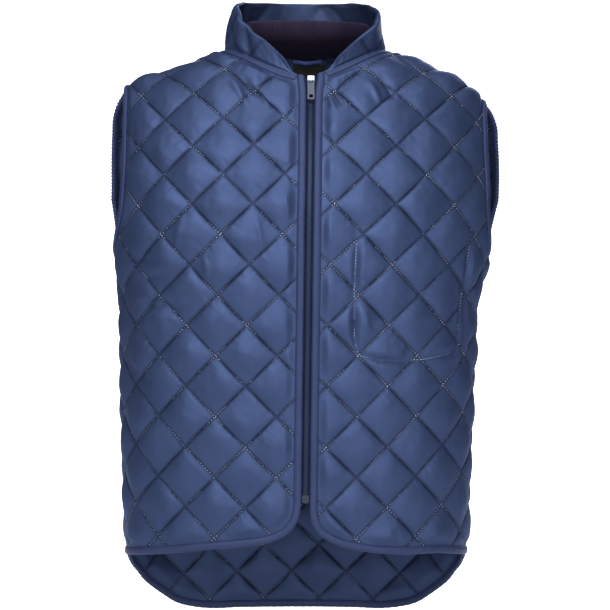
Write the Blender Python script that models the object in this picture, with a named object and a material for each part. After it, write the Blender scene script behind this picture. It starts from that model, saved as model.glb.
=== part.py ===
"""A quilted, zip-fronted bodywarmer, filled out as it is when worn.

Metres. +Z is up and the front faces -Y, so the wearer's left is +X. The origin is midway between the
two points where the neck meets the shoulders. Each cloth piece is drawn flat, as it is cut, with s
across the cloth and t up it from the underarm level, and is then laid on the body form.
"""

import math

import bpy
import numpy as np
from mathutils.geometry import delaunay_2d_cdt

# Cloth
WALL = 0.0020
PUFF = 0.0050
SEAM_GAP = 0.0003
DIAMOND_WIDTH = 0.0757
DIAMOND_HEIGHT = 0.0747
DIAMOND_CUTS = 3
SEAM_FADE = 0.012
FINE_CLEAR = 0.005
COARSE_S, COARSE_T, COARSE_CLEAR = 0.030, 0.036, 0.014

# Heights and the main widths of the cut
UNDERARM_Z = -0.262
SIDE_HEM_Z = -0.6547
NECK_HALF = 0.105
NECK_FRONT = 0.072
NECK_BACK = 0.072
BACK_NECK_RISE = 0.0211
TIP_HALF = 0.2337
ZIP_TOP_Z, ZIP_TOP_X = -0.0435, 0.0075
ZIP_END_Z, ZIP_END_X = -0.5740, 0.0006

# Bindings
BINDING_WIDTH = 0.0085
BINDING_WALL = 0.0010
FOLD_GAP = 0.00045
EDGE_FROM_ZIP = 0.0063
TOP_FLARE, FLARE_LONG = 0.0030, 0.0300
STATION = 0.018
BEND_STATION = 0.0122
NECK_STATION = 0.0145
GATHER_PITCH = 0.0120
GATHER_RISE = 0.0009

# Fullness of the rings, and of the arches from the underarm up to the shoulder
RING_POWER = 2.5
FRONT_ARCH, BACK_ARCH = 2.0, 3.0
FRONT, BACK = -1, 1

# The inside of the form: the centre line's x, half widths and depths at each height
SECTION_COLUMNS = ("z", "centre_x", "front_half", "back_half", "front_depth", "back_depth")
SECTIONS = (
    (-0.775, -0.0115, 0.2150, 0.2150, 0.128, 0.127),
    (-0.656, -0.0115, 0.2185, 0.2185, 0.128, 0.126),
    (-0.500, -0.0105, 0.2235, 0.2235, 0.130, 0.125),
    (-0.400, -0.0095, 0.2265, 0.2265, 0.131, 0.124),
    (-0.320, -0.0075, 0.2305, 0.2305, 0.132, 0.123),
    (-0.262, -0.0040, 0.2415, 0.2415, 0.132, 0.122),
    (-0.190, 0.0000, 0.2450, 0.2620, 0.131, 0.124),
    (-0.100, 0.0000, 0.2460, 0.2680, 0.130, 0.125),
    (0.030, 0.0000, 0.2460, 0.2600, 0.129, 0.125),
)

# Height of the shoulder line; the wearer's left shoulder droops a little more
SHOULDER_COLUMNS = ("x", "right_z", "left_z")
SHOULDERS = (
    (0.000, 0.0000, 0.0000),
    (0.095, 0.0000, 0.0000),
    (0.120, -0.0070, -0.0070),
    (0.170, -0.0270, -0.0260),
    (0.205, -0.0345, -0.0430),
    (0.236, -0.0500, -0.0700),
    (0.280, -0.0800, -0.1050),
)

# Armhole edges above the curve under the arm: distance from the centre line at each height
ARMHOLE_COLUMNS = ("z", "front_out", "back_out")
ARMHOLES = (
    (-0.190, 0.2330, 0.2555),
    (-0.150, 0.2315, 0.2565),
    (-0.105, 0.2315, 0.2550),
    (-0.080, 0.2320, 0.2525),
    (-0.064, 0.2328, 0.2455),
    (-0.050, 0.2337, 0.2337),
)
ARMHOLE_CURVE_Z = -0.190

# Front hems: distance from the zip, and height
HEM_COLUMNS = ("from_zip", "z")
HEM_RIGHT = (
    (0.0063, -0.5760),
    (0.0100, -0.5940),
    (0.0230, -0.6117),
    (0.0436, -0.6213),
    (0.0750, -0.6267),
    (0.1106, -0.6307),
    (0.1650, -0.6380),
)
HEM_LEFT = (
    (0.0063, -0.5800),
    (0.0090, -0.5965),
    (0.0170, -0.6110),
    (0.0324, -0.6213),
    (0.0714, -0.6327),
    (0.1140, -0.6377),
    (0.1650, -0.6395),
)

# Tail: distance from the centre line, and height
TAIL_COLUMNS = ("out", "z")
TAIL = (
    (0.0000, -0.7500),
    (0.0800, -0.7500),
    (0.1250, -0.7490),
    (0.1640, -0.7380),
    (0.1850, -0.7210),
    (0.2010, -0.7040),
    (0.2120, -0.6840),
)

# Where a crossing of the stitch lines lies on each panel, in s and t
CROSSINGS = {"front_right": (-0.0245, -0.0574), "front_left": (0.0738, -0.0574), "back": (-0.0075, -0.4394)}

# Stitched outline of the inner pocket on the left front, in s and z
POCKET_COLUMNS = ("s", "z")
POCKET = (
    (0.0660, -0.2370),
    (0.0670, -0.3000),
    (0.0690, -0.3700),
    (0.0740, -0.3930),
    (0.0990, -0.3990),
    (0.1290, -0.4000),
    (0.1600, -0.3985),
    (0.1930, -0.3930),
    (0.2080, -0.3850),
    (0.2130, -0.3400),
    (0.2150, -0.3000),
    (0.2190, -0.2500),
)

# Top edge of the stand collar: share of the way from its front end to the centre back, how far it
# leans out over the neck seam, and its height
COLLAR_COLUMNS = ("share", "lean", "z")
COLLAR_TOP = (
    (0.00, 0.0000, -0.0400),
    (0.05, 0.0000, -0.0225),
    (0.13, 0.0010, -0.0030),
    (0.20, 0.0030, 0.0110),
    (0.29, 0.0030, 0.0290),
    (0.36, -0.0050, 0.0460),
    (0.43, -0.0150, 0.0560),
    (0.52, -0.0200, 0.0630),
    (0.64, -0.0180, 0.0685),
    (0.80, -0.0100, 0.0735),
    (1.00, -0.0040, 0.0760),
)
COLLAR_ROWS = (0.0, 0.05, 0.12, 0.24, 0.40, 0.58, 0.76, 0.90, 1.0)
COLLAR_HALF_WALL = 0.0024
COLLAR_START = 0.0008
RIB_WALL = 0.0025
RIB_AWAY = 0.0100
RIB_START, RIB_RISE = 0.38, 0.75
RIB_ROUND = 0.12
BAND_WALL = 0.0014

# Zip
CHAIN_HALF, CHAIN_IN, CHAIN_OUT = 0.0030, -0.0036, -0.0008
TAPE_FROM, TAPE_TO, TAPE_IN, TAPE_OUT = 0.0034, 0.0143, -0.0024, -0.0016
SLIDER_TOP_Z = -0.0425
SLIDER_LONG, SLIDER_HALF = 0.0150, 0.0045
PULL_HALF, PULL_WALL, PULL_LONG = 0.00435, 0.0016, 0.0335
PIVOT_DOWN, PIVOT_OUT = 0.0111, 0.0027
BOX_LONG, BOX_HALF = 0.0095, 0.0042

LABEL_SIZE = (0.042, 0.030)
LABEL_CENTRE, LABEL_WALL = 0.006, 0.0006
LOOP_SIZE = (0.035, 0.0062)

NAVY = (0.022, 0.040, 0.130)
NAVY_EDGE = (0.020, 0.033, 0.115)
NAVY_BLACK = (0.012, 0.010, 0.022)


def read_table(rows, columns, name, at):
    """Smooth value of one column at a place in the table's first column."""
    table = np.array(rows, float)
    keys, values = table[:, 0], table[:, columns.index(name)]
    slopes = np.gradient(values, keys)
    at = np.clip(at, keys[0], keys[-1])
    i = np.clip(np.searchsorted(keys, at) - 1, 0, len(keys) - 2)
    width = keys[i + 1] - keys[i]
    r = (at - keys[i]) / width
    start = (1 + 2 * r) * (1 - r) ** 2 * values[i] + r * (1 - r) ** 2 * width * slopes[i]
    return start + r**2 * (3 - 2 * r) * values[i + 1] + r**2 * (r - 1) * width * slopes[i + 1]


def section(name, z):
    return read_table(SECTIONS, SECTION_COLUMNS, name, z)


def zip_x(z):
    share = (ZIP_TOP_Z - z) / (ZIP_TOP_Z - ZIP_END_Z)
    return ZIP_TOP_X + (ZIP_END_X - ZIP_TOP_X) * share


def ease(value):
    value = np.clip(value, 0, 1)
    return value * value * (3 - 2 * value)


def unit(vectors):
    return vectors / np.maximum(np.linalg.norm(vectors, axis=-1, keepdims=True), 1e-12)


class BodyFace:
    """The front or back of the form, as a table from flat cloth points to points in space."""

    STEP = 0.004
    REACH = 0.36

    def __init__(self, facing):
        self.facing = facing
        side = "front" if facing == FRONT else "back"
        self.half, self.depth = side + "_half", side + "_depth"
        self.arch = FRONT_ARCH if facing == FRONT else BACK_ARCH
        self.s = np.arange(-self.REACH, self.REACH + self.STEP / 2, self.STEP)
        low = np.linspace(SECTIONS[0][0], UNDERARM_Z, 90)
        turns = np.linspace(0, math.pi / 2, 60)[1:]
        rows = [self.ring_row(z) for z in low] + [self.arch_row(turn) for turn in turns]
        self.points = np.array(rows).transpose(1, 0, 2)
        across = np.gradient(self.points, axis=0)
        along = np.gradient(self.points, axis=1)
        self.normals = unit(np.cross(across, along) * -self.facing)
        steps = np.linalg.norm(np.diff(self.points, axis=1), axis=2)
        self.t = np.concatenate([np.zeros((len(self.s), 1)), np.cumsum(steps, axis=1)], axis=1)
        self.t -= self.t[:, [len(low) - 1]]

    def ring(self, z):
        """Angle and length of cloth round a quarter of the ring at a height."""
        angle = np.linspace(0, math.pi / 2, 400)
        x = section(self.half, z) * np.sin(angle) ** (2 / RING_POWER)
        y = section(self.depth, z) * np.cos(angle) ** (2 / RING_POWER)
        lengths = np.hypot(np.diff(x), np.diff(y))
        return angle, x, y, np.concatenate([[0], np.cumsum(lengths)])

    def ring_row(self, z):
        _, x, y, length = self.ring(z)
        out = np.interp(np.abs(self.s), length, x)
        deep = np.interp(np.abs(self.s), length, y) - np.maximum(np.abs(self.s) - length[-1], 0)
        x_world = section("centre_x", z) + np.sign(self.s) * out
        return np.column_stack([x_world, self.facing * deep, np.full(len(self.s), z)])

    def top_z(self, x):
        """Height of the shoulder line; the back neck stands higher than the front."""
        right = read_table(SHOULDERS, SHOULDER_COLUMNS, "right_z", np.abs(x))
        left = read_table(SHOULDERS, SHOULDER_COLUMNS, "left_z", np.abs(x))
        rise = BACK_NECK_RISE * np.clip(1 - (x / NECK_HALF) ** 2, 0, 1) ** 2
        return np.where(x > 0, left, right) + (rise if self.facing == BACK else 0)

    def arch_row(self, turn):
        angle, _, _, length = self.ring(UNDERARM_Z)
        theta = np.interp(np.abs(self.s), length, angle)
        side = np.sin(theta) ** (2 / RING_POWER)
        z = np.full(len(self.s), UNDERARM_Z)
        for _ in range(4):
            x = section("centre_x", z) + np.sign(self.s) * section(self.half, z) * side
            z = UNDERARM_Z + (self.top_z(x) - UNDERARM_Z) * math.sin(turn) ** (2 / self.arch)
        deep = section(self.depth, z) * np.cos(theta) ** (2 / RING_POWER)
        deep = deep * math.cos(turn) ** (2 / self.arch) - np.maximum(np.abs(self.s) - length[-1], 0)
        return np.column_stack([x, self.facing * deep, z])

    def at(self, flat):
        """Points and outward normals in space for flat points."""
        flat = np.atleast_2d(flat)
        place = (flat[:, 0] - self.s[0]) / self.STEP
        low = np.clip(np.floor(place).astype(int), 0, len(self.s) - 2)
        blend = place - low
        found = []
        tops = self.t[:, -1]
        for column, share, t in zip(low, blend, flat[:, 1]):
            top = (1 - share) * tops[column] + share * tops[column + 1]
            pair = []
            for c in (column, column + 1):
                values = np.concatenate([self.points[c], self.normals[c]], axis=1)
                reach = t * tops[c] / top if t > 0 else t
                pair.append([np.interp(reach, self.t[c], values[:, k]) for k in range(6)])
            found.append((1 - share) * np.array(pair[0]) + share * np.array(pair[1]))
        found = np.array(found)
        return found[:, :3], unit(found[:, 3:])

    def column(self, grid, s):
        """One column of a table, between the two nearest."""
        place = (s - self.s[0]) / self.STEP
        low = int(np.clip(math.floor(place), 0, len(self.s) - 2))
        return (1 - (place - low)) * grid[low] + (place - low) * grid[low + 1]

    def side_s(self, z):
        return self.ring(z)[3][-1]

    def flat_xz(self, out, z, hand):
        """Flat point for a distance out from the centre line and a height."""
        if z <= UNDERARM_Z:
            _, x, _, length = self.ring(z)
            s = np.sign(out) * np.interp(abs(out), x, length)
        else:
            angle, _, _, length = self.ring(UNDERARM_Z)
            side = np.clip(abs(out) / section(self.half, z), 0, 1) ** (RING_POWER / 2)
            s = np.sign(out) * np.interp(math.asin(side), angle, length)
        heights = self.column(self.points[:, :, 2], hand * s)
        return np.array([s, np.interp(z, heights, self.column(self.t, hand * s))])

    def flat_xy(self, out, y, hand):
        """Flat point above the underarm for a distance out and a depth."""
        z = 0.0
        for _ in range(4):
            s = self.flat_xz(out, z, hand)[0]
            deep = np.abs(self.column(self.points[:, :, 1], hand * s))
            heights = self.column(self.points[:, :, 2], hand * s)
            up = heights > UNDERARM_Z
            z = float(np.interp(-abs(y), -deep[up], heights[up]))
        return np.array([s, np.interp(-abs(y), -deep[up], self.column(self.t, hand * s)[up])])

    def top_t(self, s, hand):
        return self.column(self.t, hand * s)[-1]


def even(points, spacing):
    """Points an even distance apart along a line through the given points."""
    points = np.array(points)
    lengths = np.concatenate([[0], np.cumsum(np.linalg.norm(np.diff(points, axis=0), axis=1))])
    places = np.linspace(0, lengths[-1], max(2, round(lengths[-1] / spacing) + 1))
    return np.column_stack([np.interp(places, lengths, points[:, k]) for k in (0, 1)])


def with_ends(points, first, last):
    """The points between two stations that lie one binding in from the ends of a seam."""
    points = np.array(points)
    lengths = np.concatenate([[0], np.cumsum(np.linalg.norm(np.diff(points, axis=0), axis=1))])
    places = np.linspace(first, lengths[-1] - last, max(2, round((lengths[-1] - first - last) / STATION) + 1))
    places = np.concatenate([[0] * (first > 0), places, [lengths[-1]] * (last > 0)])
    return np.column_stack([np.interp(places, lengths, points[:, k]) for k in (0, 1)])


def side_seam(face, hand, low_z):
    rows = [(face.side_s(z) - SEAM_GAP / 2, z) for z in np.linspace(low_z, UNDERARM_Z, 30)]
    rows = [(s, np.interp(z, face.column(face.points[:, :, 2], hand * s), face.column(face.t, hand * s)))
            for s, z in rows]
    return with_ends(rows, BINDING_WIDTH, BINDING_WIDTH)


def armhole(face, hand, spacing):
    """From the top of the side seam, under the arm and up to the shoulder tip."""
    out = "front_out" if face.facing == FRONT else "back_out"
    start = np.array([face.side_s(UNDERARM_Z) - SEAM_GAP / 2, 0.0])
    rise = face.flat_xz(read_table(ARMHOLES, ARMHOLE_COLUMNS, out, ARMHOLE_CURVE_Z), ARMHOLE_CURVE_Z, hand)
    curve = [start + (rise - start) * (math.sin(a), 1 - math.cos(a)) for a in np.linspace(0, math.pi / 2, 24)]
    tip_z = float(face.top_z(np.array(hand * TIP_HALF)))
    heights = np.linspace(ARMHOLE_CURVE_Z, tip_z - 0.004, 24)[1:]
    stretch = (ARMHOLES[-1][0] - ARMHOLE_CURVE_Z) / (tip_z - ARMHOLE_CURVE_Z)
    edge = []
    for z in heights:
        table_z = ARMHOLE_CURVE_Z + (z - ARMHOLE_CURVE_Z) * stretch
        edge.append(face.flat_xz(float(read_table(ARMHOLES, ARMHOLE_COLUMNS, out, table_z)), z, hand))
    line = even(curve + edge + [shoulder_point(face, hand, TIP_HALF)], spacing)
    near_tip = line[-1] + (line[-2] - line[-1]) * 0.35
    return np.concatenate([line[:-1], [near_tip], line[-1:]])


def shoulder_point(face, hand, out):
    z = float(face.top_z(np.array(hand * out)))
    s = face.flat_xz(out, z, hand)[0]
    return np.array([s, face.top_t(s, hand) - SEAM_GAP / 2])


def shoulder(face, hand):
    outs = np.linspace(TIP_HALF, NECK_HALF, 20)
    return with_ends([shoulder_point(face, hand, out) for out in outs], BINDING_WIDTH, BINDING_WIDTH)


def neckline(face, hand, stop_out):
    """From the shoulder to the centre, or to a distance out from it."""
    deep = NECK_FRONT if face.facing == FRONT else NECK_BACK
    power = 1.75 if face.facing == FRONT else 2.0
    last = math.asin((max(stop_out, 0) / NECK_HALF) ** (power / 2))
    points = [shoulder_point(face, hand, NECK_HALF)]
    for angle in np.linspace(math.pi / 2, last, 40)[2:]:
        out = NECK_HALF * math.sin(angle) ** (2 / power)
        points.append(face.flat_xy(out, deep * math.cos(angle) ** (2 / power), hand))
    return np.array(points)


def inset(points, first, last):
    """The line one binding width inside a run of the outline, with its ends given."""
    tangent = unit(np.gradient(points, axis=0))
    row = points + BINDING_WIDTH * np.column_stack([-tangent[:, 1], tangent[:, 0]])
    row[0], row[-1] = first, last
    return row


def distance_to(points, line):
    """Least distance from each point to a run of joined lines."""
    best = np.full(len(points), np.inf)
    for a, b in zip(line[:-1], line[1:]):
        span = b - a
        share = np.clip(((points - a) @ span) / max(span @ span, 1e-12), 0, 1)
        best = np.minimum(best, np.linalg.norm(points - a - share[:, None] * span, axis=1))
    return best


def inside(points, loop):
    found = np.zeros(len(points), bool)
    for a, b in zip(loop, np.roll(loop, -1, axis=0)):
        crosses = (a[1] > points[:, 1]) != (b[1] > points[:, 1])
        at = a[0] + (points[:, 1] - a[1]) * (b[0] - a[0]) / (b[1] - a[1] + 1e-15)
        found ^= crosses & (points[:, 0] < at)
    return found


class Panel:
    """A quilted panel: its flat outline in runs, each a seam or a bound edge with a row one binding in."""

    def __init__(self, name, face, hand, crossing):
        self.name, self.face, self.hand, self.crossing = name, face, hand, crossing
        self.runs = []
        self.grooves = []
        self.extra_inside = []

    def add(self, name, points, row=None, skip=0):
        """A run of the outline; skip leaves the row's last points out of the panel's own mesh."""
        self.runs.append({"name": name, "points": points, "row": row, "skip": skip})

    def run(self, name):
        return next(run for run in self.runs if run["name"] == name)

    def loop(self):
        return np.concatenate([run["points"][:-1] for run in self.runs])

    def space(self, flat):
        flat = np.array(flat) * (self.hand, 1)
        return self.face.at(flat)

    def height(self, flat):
        """How far the quilting stands above the stitch lines."""
        s, t = flat[:, 0] * self.hand - self.crossing[0], flat[:, 1] - self.crossing[1]
        p, q = s / DIAMOND_WIDTH + t / DIAMOND_HEIGHT, s / DIAMOND_WIDTH - t / DIAMOND_HEIGHT
        puff = np.abs(np.sin(math.pi * p) * np.sin(math.pi * q)) ** 0.6
        near = np.full(len(flat), np.inf)
        for run in self.runs:
            bound = 0 if run["row"] is None else BINDING_WIDTH
            near = np.minimum(near, distance_to(flat, run["points"]) - bound)
        for groove in self.grooves:
            near = np.minimum(near, distance_to(flat, groove))
        return PUFF * puff * ease(near / SEAM_FADE)

    def free_points(self, points, clear):
        """The points that lie inside, clear of the edges, bindings and grooves."""
        loop = self.loop()
        points = points[inside(points, loop)]
        for run in self.runs:
            margin = clear if run["row"] is None else clear + BINDING_WIDTH
            points = points[distance_to(points, run["points"]) > margin]
        return points

    def lattice(self):
        low, high = self.loop().min(axis=0), self.loop().max(axis=0)
        count = int(DIAMOND_CUTS * 14)
        steps = np.arange(-count, count + 1) / DIAMOND_CUTS
        p, q = np.meshgrid(steps, steps)
        s = self.crossing[0] + (p + q).ravel() * DIAMOND_WIDTH / 2
        t = self.crossing[1] + (p - q).ravel() * DIAMOND_HEIGHT / 2
        points = np.column_stack([s * self.hand, t])
        points = points[np.all((points > low) & (points < high), axis=1)]
        points = self.free_points(points, FINE_CLEAR)
        for groove in self.grooves:
            points = points[distance_to(points, groove) > FINE_CLEAR]
        return points

    def coarse(self):
        low, high = self.loop().min(axis=0), self.loop().max(axis=0)
        s, t = np.meshgrid(np.arange(low[0], high[0], COARSE_S), np.arange(low[1], high[1], COARSE_T))
        points = self.free_points(np.column_stack([s.ravel(), t.ravel()]), COARSE_CLEAR)
        for extra in self.extra_inside:
            points = points[distance_to(points, extra) > COARSE_CLEAR]
        return points

    def mesh_layer(self, free, lines):
        """Triangles over the outline through the binding rows, the free points and extra lines."""
        loop = self.loop()
        points = [tuple(p) for p in loop]
        edges = [(i, (i + 1) % len(loop)) for i in range(len(loop))]

        def index(point):
            for i, known in enumerate(points):
                if abs(known[0] - point[0]) < 1e-5 and abs(known[1] - point[1]) < 1e-5:
                    return i
            points.append(tuple(point))
            return len(points) - 1

        for run in self.runs:
            if run["row"] is not None:
                count = len(run["row"]) - run["skip"]
                rim = [index(point) for point in run["points"][:count]]
                row = [index(point) for point in run["row"][:count]]
                edges += list(zip(row[:-1], row[1:])) + list(zip(rim, row)) + list(zip(rim[:-1], row[1:]))
        for line in lines:
            indices = [index(point) for point in line]
            edges += list(zip(indices[:-1], indices[1:]))
        points += [tuple(p) for p in free]
        result = delaunay_2d_cdt(points, edges, [], 0, 1e-7)
        flat = np.array([tuple(p) for p in result[0]])
        triangles = np.array([tuple(f) for f in result[2]])
        kept = inside(flat[triangles].mean(axis=1), loop)
        order = {source: i for i, sources in enumerate(result[3]) for source in sources}
        border = [order[i] for i in range(len(loop))]
        return flat, triangles[kept], border

    def build(self, material):
        outer, outer_faces, outer_border = self.mesh_layer(self.lattice(), self.grooves)
        inner, inner_faces, inner_border = self.mesh_layer(self.coarse(), self.extra_inside)
        points, normals = self.space(outer)
        raised = points + normals * (WALL + self.height(outer))[:, None]
        plain, _ = self.space(inner)
        shift = len(raised)
        faces = [tuple(f) for f in outer_faces] + [tuple(f[::-1] + shift) for f in inner_faces]
        for k in range(len(outer_border)):
            m = (k + 1) % len(outer_border)
            a, b = outer_border[k], outer_border[m]
            c, d = inner_border[m] + shift, inner_border[k] + shift
            faces += [(b, a, d), (b, d, c)]
        return solid(self.name, np.concatenate([raised, plain]), faces, material)

    def edge(self, name):
        """The points of a bound edge in space: the edge, the row in from it, and their directions."""
        run = self.run(name)
        e, e_normal = self.space(run["points"])
        i, i_normal = self.space(run["row"])
        out = e - i
        out = unit(out - (out * e_normal).sum(axis=1, keepdims=True) * e_normal)
        return {"e": e, "en": e_normal, "i": i, "in": i_normal, "out": out, "way": np.ones((len(e), 1))}


def join_edges(*edges):
    """One edge from several that follow each other; where two meet they share one station."""
    whole = {key: edges[0][key] for key in edges[0]}
    for edge in edges[1:]:
        for key in whole:
            middle = (whole[key][-1:] + edge[key][:1]) / 2
            whole[key] = np.concatenate([whole[key][:-1], middle, edge[key][1:]])
    return whole


def close_edge(edge):
    """Merges the last station of a ring into its first."""
    for key in edge:
        middle = (edge[key][:1] + edge[key][-1:]) / 2
        edge[key] = np.concatenate([middle, edge[key][1:-1]])
    return edge


def reverse_edge(edge):
    turned = {key: values[::-1] for key, values in edge.items()}
    turned["way"] = -turned["way"]
    return turned


def cut_edge(edge, first, last):
    return {key: values[first:last] for key, values in edge.items()}


def stretch_ways(edge):
    """For each stretch from one station to the next, above zero where it runs as its panel's outline does."""
    return edge["way"][:, 0] + np.roll(edge["way"][:, 0], -1)


def new_material(name, colour, roughness, metallic=0.0):
    material = bpy.data.materials.new(name)
    material.use_nodes = True
    shader = material.node_tree.nodes["Principled BSDF"]
    shader.inputs["Base Color"].default_value = (*colour, 1)
    shader.inputs["Roughness"].default_value = roughness
    shader.inputs["Metallic"].default_value = metallic
    return material


def signed_volume(points, faces):
    total = 0.0
    for face in faces:
        for k in range(1, len(face) - 1):
            total += np.dot(points[face[0]], np.cross(points[face[k]], points[face[k + 1]]))
    return total


def solid(name, points, faces, material, origin=(0, 0, 0)):
    """A closed mesh object with its faces turned outward and its origin at a given point."""
    points = np.array(points) - np.array(origin)
    faces = [tuple(int(i) for i in face) for face in faces]
    if signed_volume(points, faces) < 0:
        faces = [face[::-1] for face in faces]
    mesh = bpy.data.meshes.new(name)
    mesh.from_pydata([tuple(p) for p in points], [], faces)
    mesh.materials.append(material)
    mesh.shade_smooth()
    mesh.set_sharp_from_angle(angle=math.radians(50))
    made = bpy.data.objects.new(name, mesh)
    made.location = origin
    bpy.context.scene.collection.objects.link(made)
    return made


def swept(name, profiles, closed, material, caps=None, splits=None):
    """A solid through a list of matching profiles, closed on itself or capped.

    splits says for each stretch and each side of the profile which way its four-sided face is halved.
    """
    count, sections = len(profiles[0]), len(profiles)
    faces = []
    for i in range(sections if closed else sections - 1):
        j = (i + 1) % sections
        for k in range(count):
            m = (k + 1) % count
            a, b, c, d = i * count + k, i * count + m, j * count + m, j * count + k
            if splits is None:
                faces.append((a, b, c, d))
            elif splits[i][k]:
                faces += [(a, b, d), (b, c, d)]
            else:
                faces += [(a, b, c), (a, c, d)]
    if not closed:
        last = (sections - 1) * count
        for cap in caps or [tuple(range(count))]:
            faces.append(tuple(cap[::-1]))
            faces.append(tuple(last + k for k in cap))
    return solid(name, np.concatenate(profiles), faces, material)


# Which faces of a strip are halved between their second and fourth points, so that the faces against a
# panel are halved as the panel's own are, and the faces of the folded strip's ends
BAND_SPLITS = [True, False, True, True]
FOLD_SPLITS = [True, True, False, False, True, False, False, False]
FOLD_CAPS = [(0, 1, 6, 7), (1, 2, 5, 6), (2, 3, 4, 5)]


def binding(name, edge, closed, material, waves=None):
    """Folded strip that wraps an edge: down the outside, round the edge and back up the inside."""
    near, far = SEAM_GAP, SEAM_GAP + BINDING_WALL
    wave = np.zeros(len(edge["e"])) if waves is None else waves
    profiles = []
    for k in range(len(edge["e"])):
        e, i = edge["e"][k], edge["i"][k]
        e_n, i_n, out = edge["en"][k], edge["in"][k], edge["out"][k]
        lift = far + wave[k]
        profiles.append([
            i + i_n * (WALL + lift), e + e_n * (WALL + lift) + out * lift,
            e - e_n * far + out * lift, i - i_n * far,
            i - i_n * near, e - e_n * near + out * FOLD_GAP,
            e + e_n * (WALL + near) + out * FOLD_GAP, i + i_n * (WALL + near),
        ])
    splits = [FOLD_SPLITS if way > 0 else [not split for split in FOLD_SPLITS] for way in stretch_ways(edge)]
    return swept(name, profiles, closed, material, FOLD_CAPS, splits)


def make_front(name, face, hand, hem_rows):
    panel = Panel(name, face, hand, CROSSINGS[name])

    def centre_flat(from_zip, z):
        from_line = hand * float(zip_x(z) - section("centre_x", z))
        return face.flat_xz(from_line + from_zip, z, hand)

    def from_zip_at(z):
        return EDGE_FROM_ZIP + TOP_FLARE * float(ease((z - ZIP_TOP_Z + FLARE_LONG) / FLARE_LONG))

    top_out = hand * ZIP_TOP_X + EDGE_FROM_ZIP + TOP_FLARE
    neck = neckline(face, hand, top_out)
    corner = neck[-1]
    heights = np.linspace(ZIP_TOP_Z - 0.004, hem_rows[0][1], 60)
    centre = even([corner] + [centre_flat(from_zip_at(z), z) for z in heights], STATION)
    hem_line = np.array(hem_rows)
    curve = smooth_line(np.concatenate([[[EDGE_FROM_ZIP, hem_rows[0][1] + 0.03]], hem_line]), HEM_COLUMNS)
    curve = [centre_flat(out, z) for out, z in curve if z <= hem_rows[0][1]]
    seam_end = side_seam(face, hand, SIDE_HEM_Z)
    hem = even(curve + [seam_end[0]], BEND_STATION)
    edge = np.concatenate([centre, hem[1:]])

    neck_lengths = np.concatenate([[0], np.cumsum(np.linalg.norm(np.diff(neck, axis=0), axis=1))])
    total = neck_lengths[-1]
    collar_place = total - BINDING_WIDTH - COLLAR_START
    places = np.concatenate([np.linspace(0, collar_place, 10), [total - BINDING_WIDTH, total]])
    neck = np.column_stack([np.interp(places, neck_lengths, neck[:, k]) for k in (0, 1)])

    shoulder_run = shoulder(face, hand)
    armhole_run = armhole(face, hand, BEND_STATION)
    panel.add("edge", edge, inset(edge, neck[-2], seam_end[1]))
    panel.add("side", seam_end)
    panel.add("armhole", armhole_run, inset(armhole_run, seam_end[-2], shoulder_run[1]))
    panel.add("shoulder", shoulder_run)
    row = inset(neck, shoulder_run[-2], neck[-1])
    panel.add("neck", neck, row, skip=2)
    return panel


def smooth_line(rows, columns):
    """Points along a smooth curve through the rows, which need not run one way."""
    rows = np.array(rows, float)
    keys = np.concatenate([[0], np.cumsum(np.linalg.norm(np.diff(rows, axis=0), axis=1))])
    table = np.column_stack([keys, rows])
    places = np.linspace(0, keys[-1], 90)
    return np.column_stack([read_table(table, ("along",) + columns, name, places) for name in columns])


def make_back(face):
    panel = Panel("back", face, 1, CROSSINGS["back"])
    halves = {}
    for hand in (-1, 1):
        tail = np.array(TAIL)
        line = smooth_line(np.concatenate([[[-TAIL[1][0], TAIL[1][1]]], tail]), TAIL_COLUMNS)
        seam = side_seam(face, hand, SIDE_HEM_Z)
        low = [face.flat_xz(float(out), float(z), hand) for out, z in line if out >= 0]
        shoulder_run = shoulder(face, hand)
        neck = even(neckline(face, hand, 0.0), NECK_STATION)
        neck[-1][0] = 0.0
        halves[hand] = {
            "tail": even([(0.0, low[0][1])] + low + [seam[0]], BEND_STATION),
            "side": seam,
            "armhole": armhole(face, hand, GATHER_PITCH / 2),
            "shoulder": shoulder_run,
            "neck": neck,
        }

    def mirrored(points):
        return points[::-1] * (-1, 1)

    left, right = halves[1], halves[-1]
    level = (left["tail"][0][1] + right["tail"][0][1]) / 2
    left["tail"][0][1] = right["tail"][0][1] = level
    top = (left["neck"][-1][1] + right["neck"][-1][1]) / 2
    left["neck"][-1][1] = right["neck"][-1][1] = top
    tail = np.concatenate([mirrored(right["tail"]), left["tail"][1:]])
    neck = np.concatenate([left["neck"], mirrored(right["neck"])[1:]])
    right_side, right_shoulder = mirrored(right["side"]), mirrored(right["shoulder"])
    right_armhole = mirrored(right["armhole"])
    panel.add("tail", tail, inset(tail, right_side[-2], left["side"][1]))
    panel.add("side_left", left["side"])
    panel.add("armhole_left", left["armhole"], inset(left["armhole"], left["side"][-2], left["shoulder"][1]))
    panel.add("shoulder_left", left["shoulder"])
    panel.add("neck", neck, inset(neck, left["shoulder"][-2], right_shoulder[1]))
    panel.add("shoulder_right", right_shoulder)
    panel.add("armhole_right", right_armhole, inset(right_armhole, right_shoulder[-2], right_side[1]))
    panel.add("side_right", right_side)
    return panel


def neck_edge(fronts, back):
    """The whole neck seam, from the right front end round the back to the left front end."""
    right = reverse_edge(cut_edge(fronts[-1].edge("neck"), 0, -2))
    left = cut_edge(fronts[1].edge("neck"), 0, -2)
    return join_edges(right, reverse_edge(back.edge("neck")), left)


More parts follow.
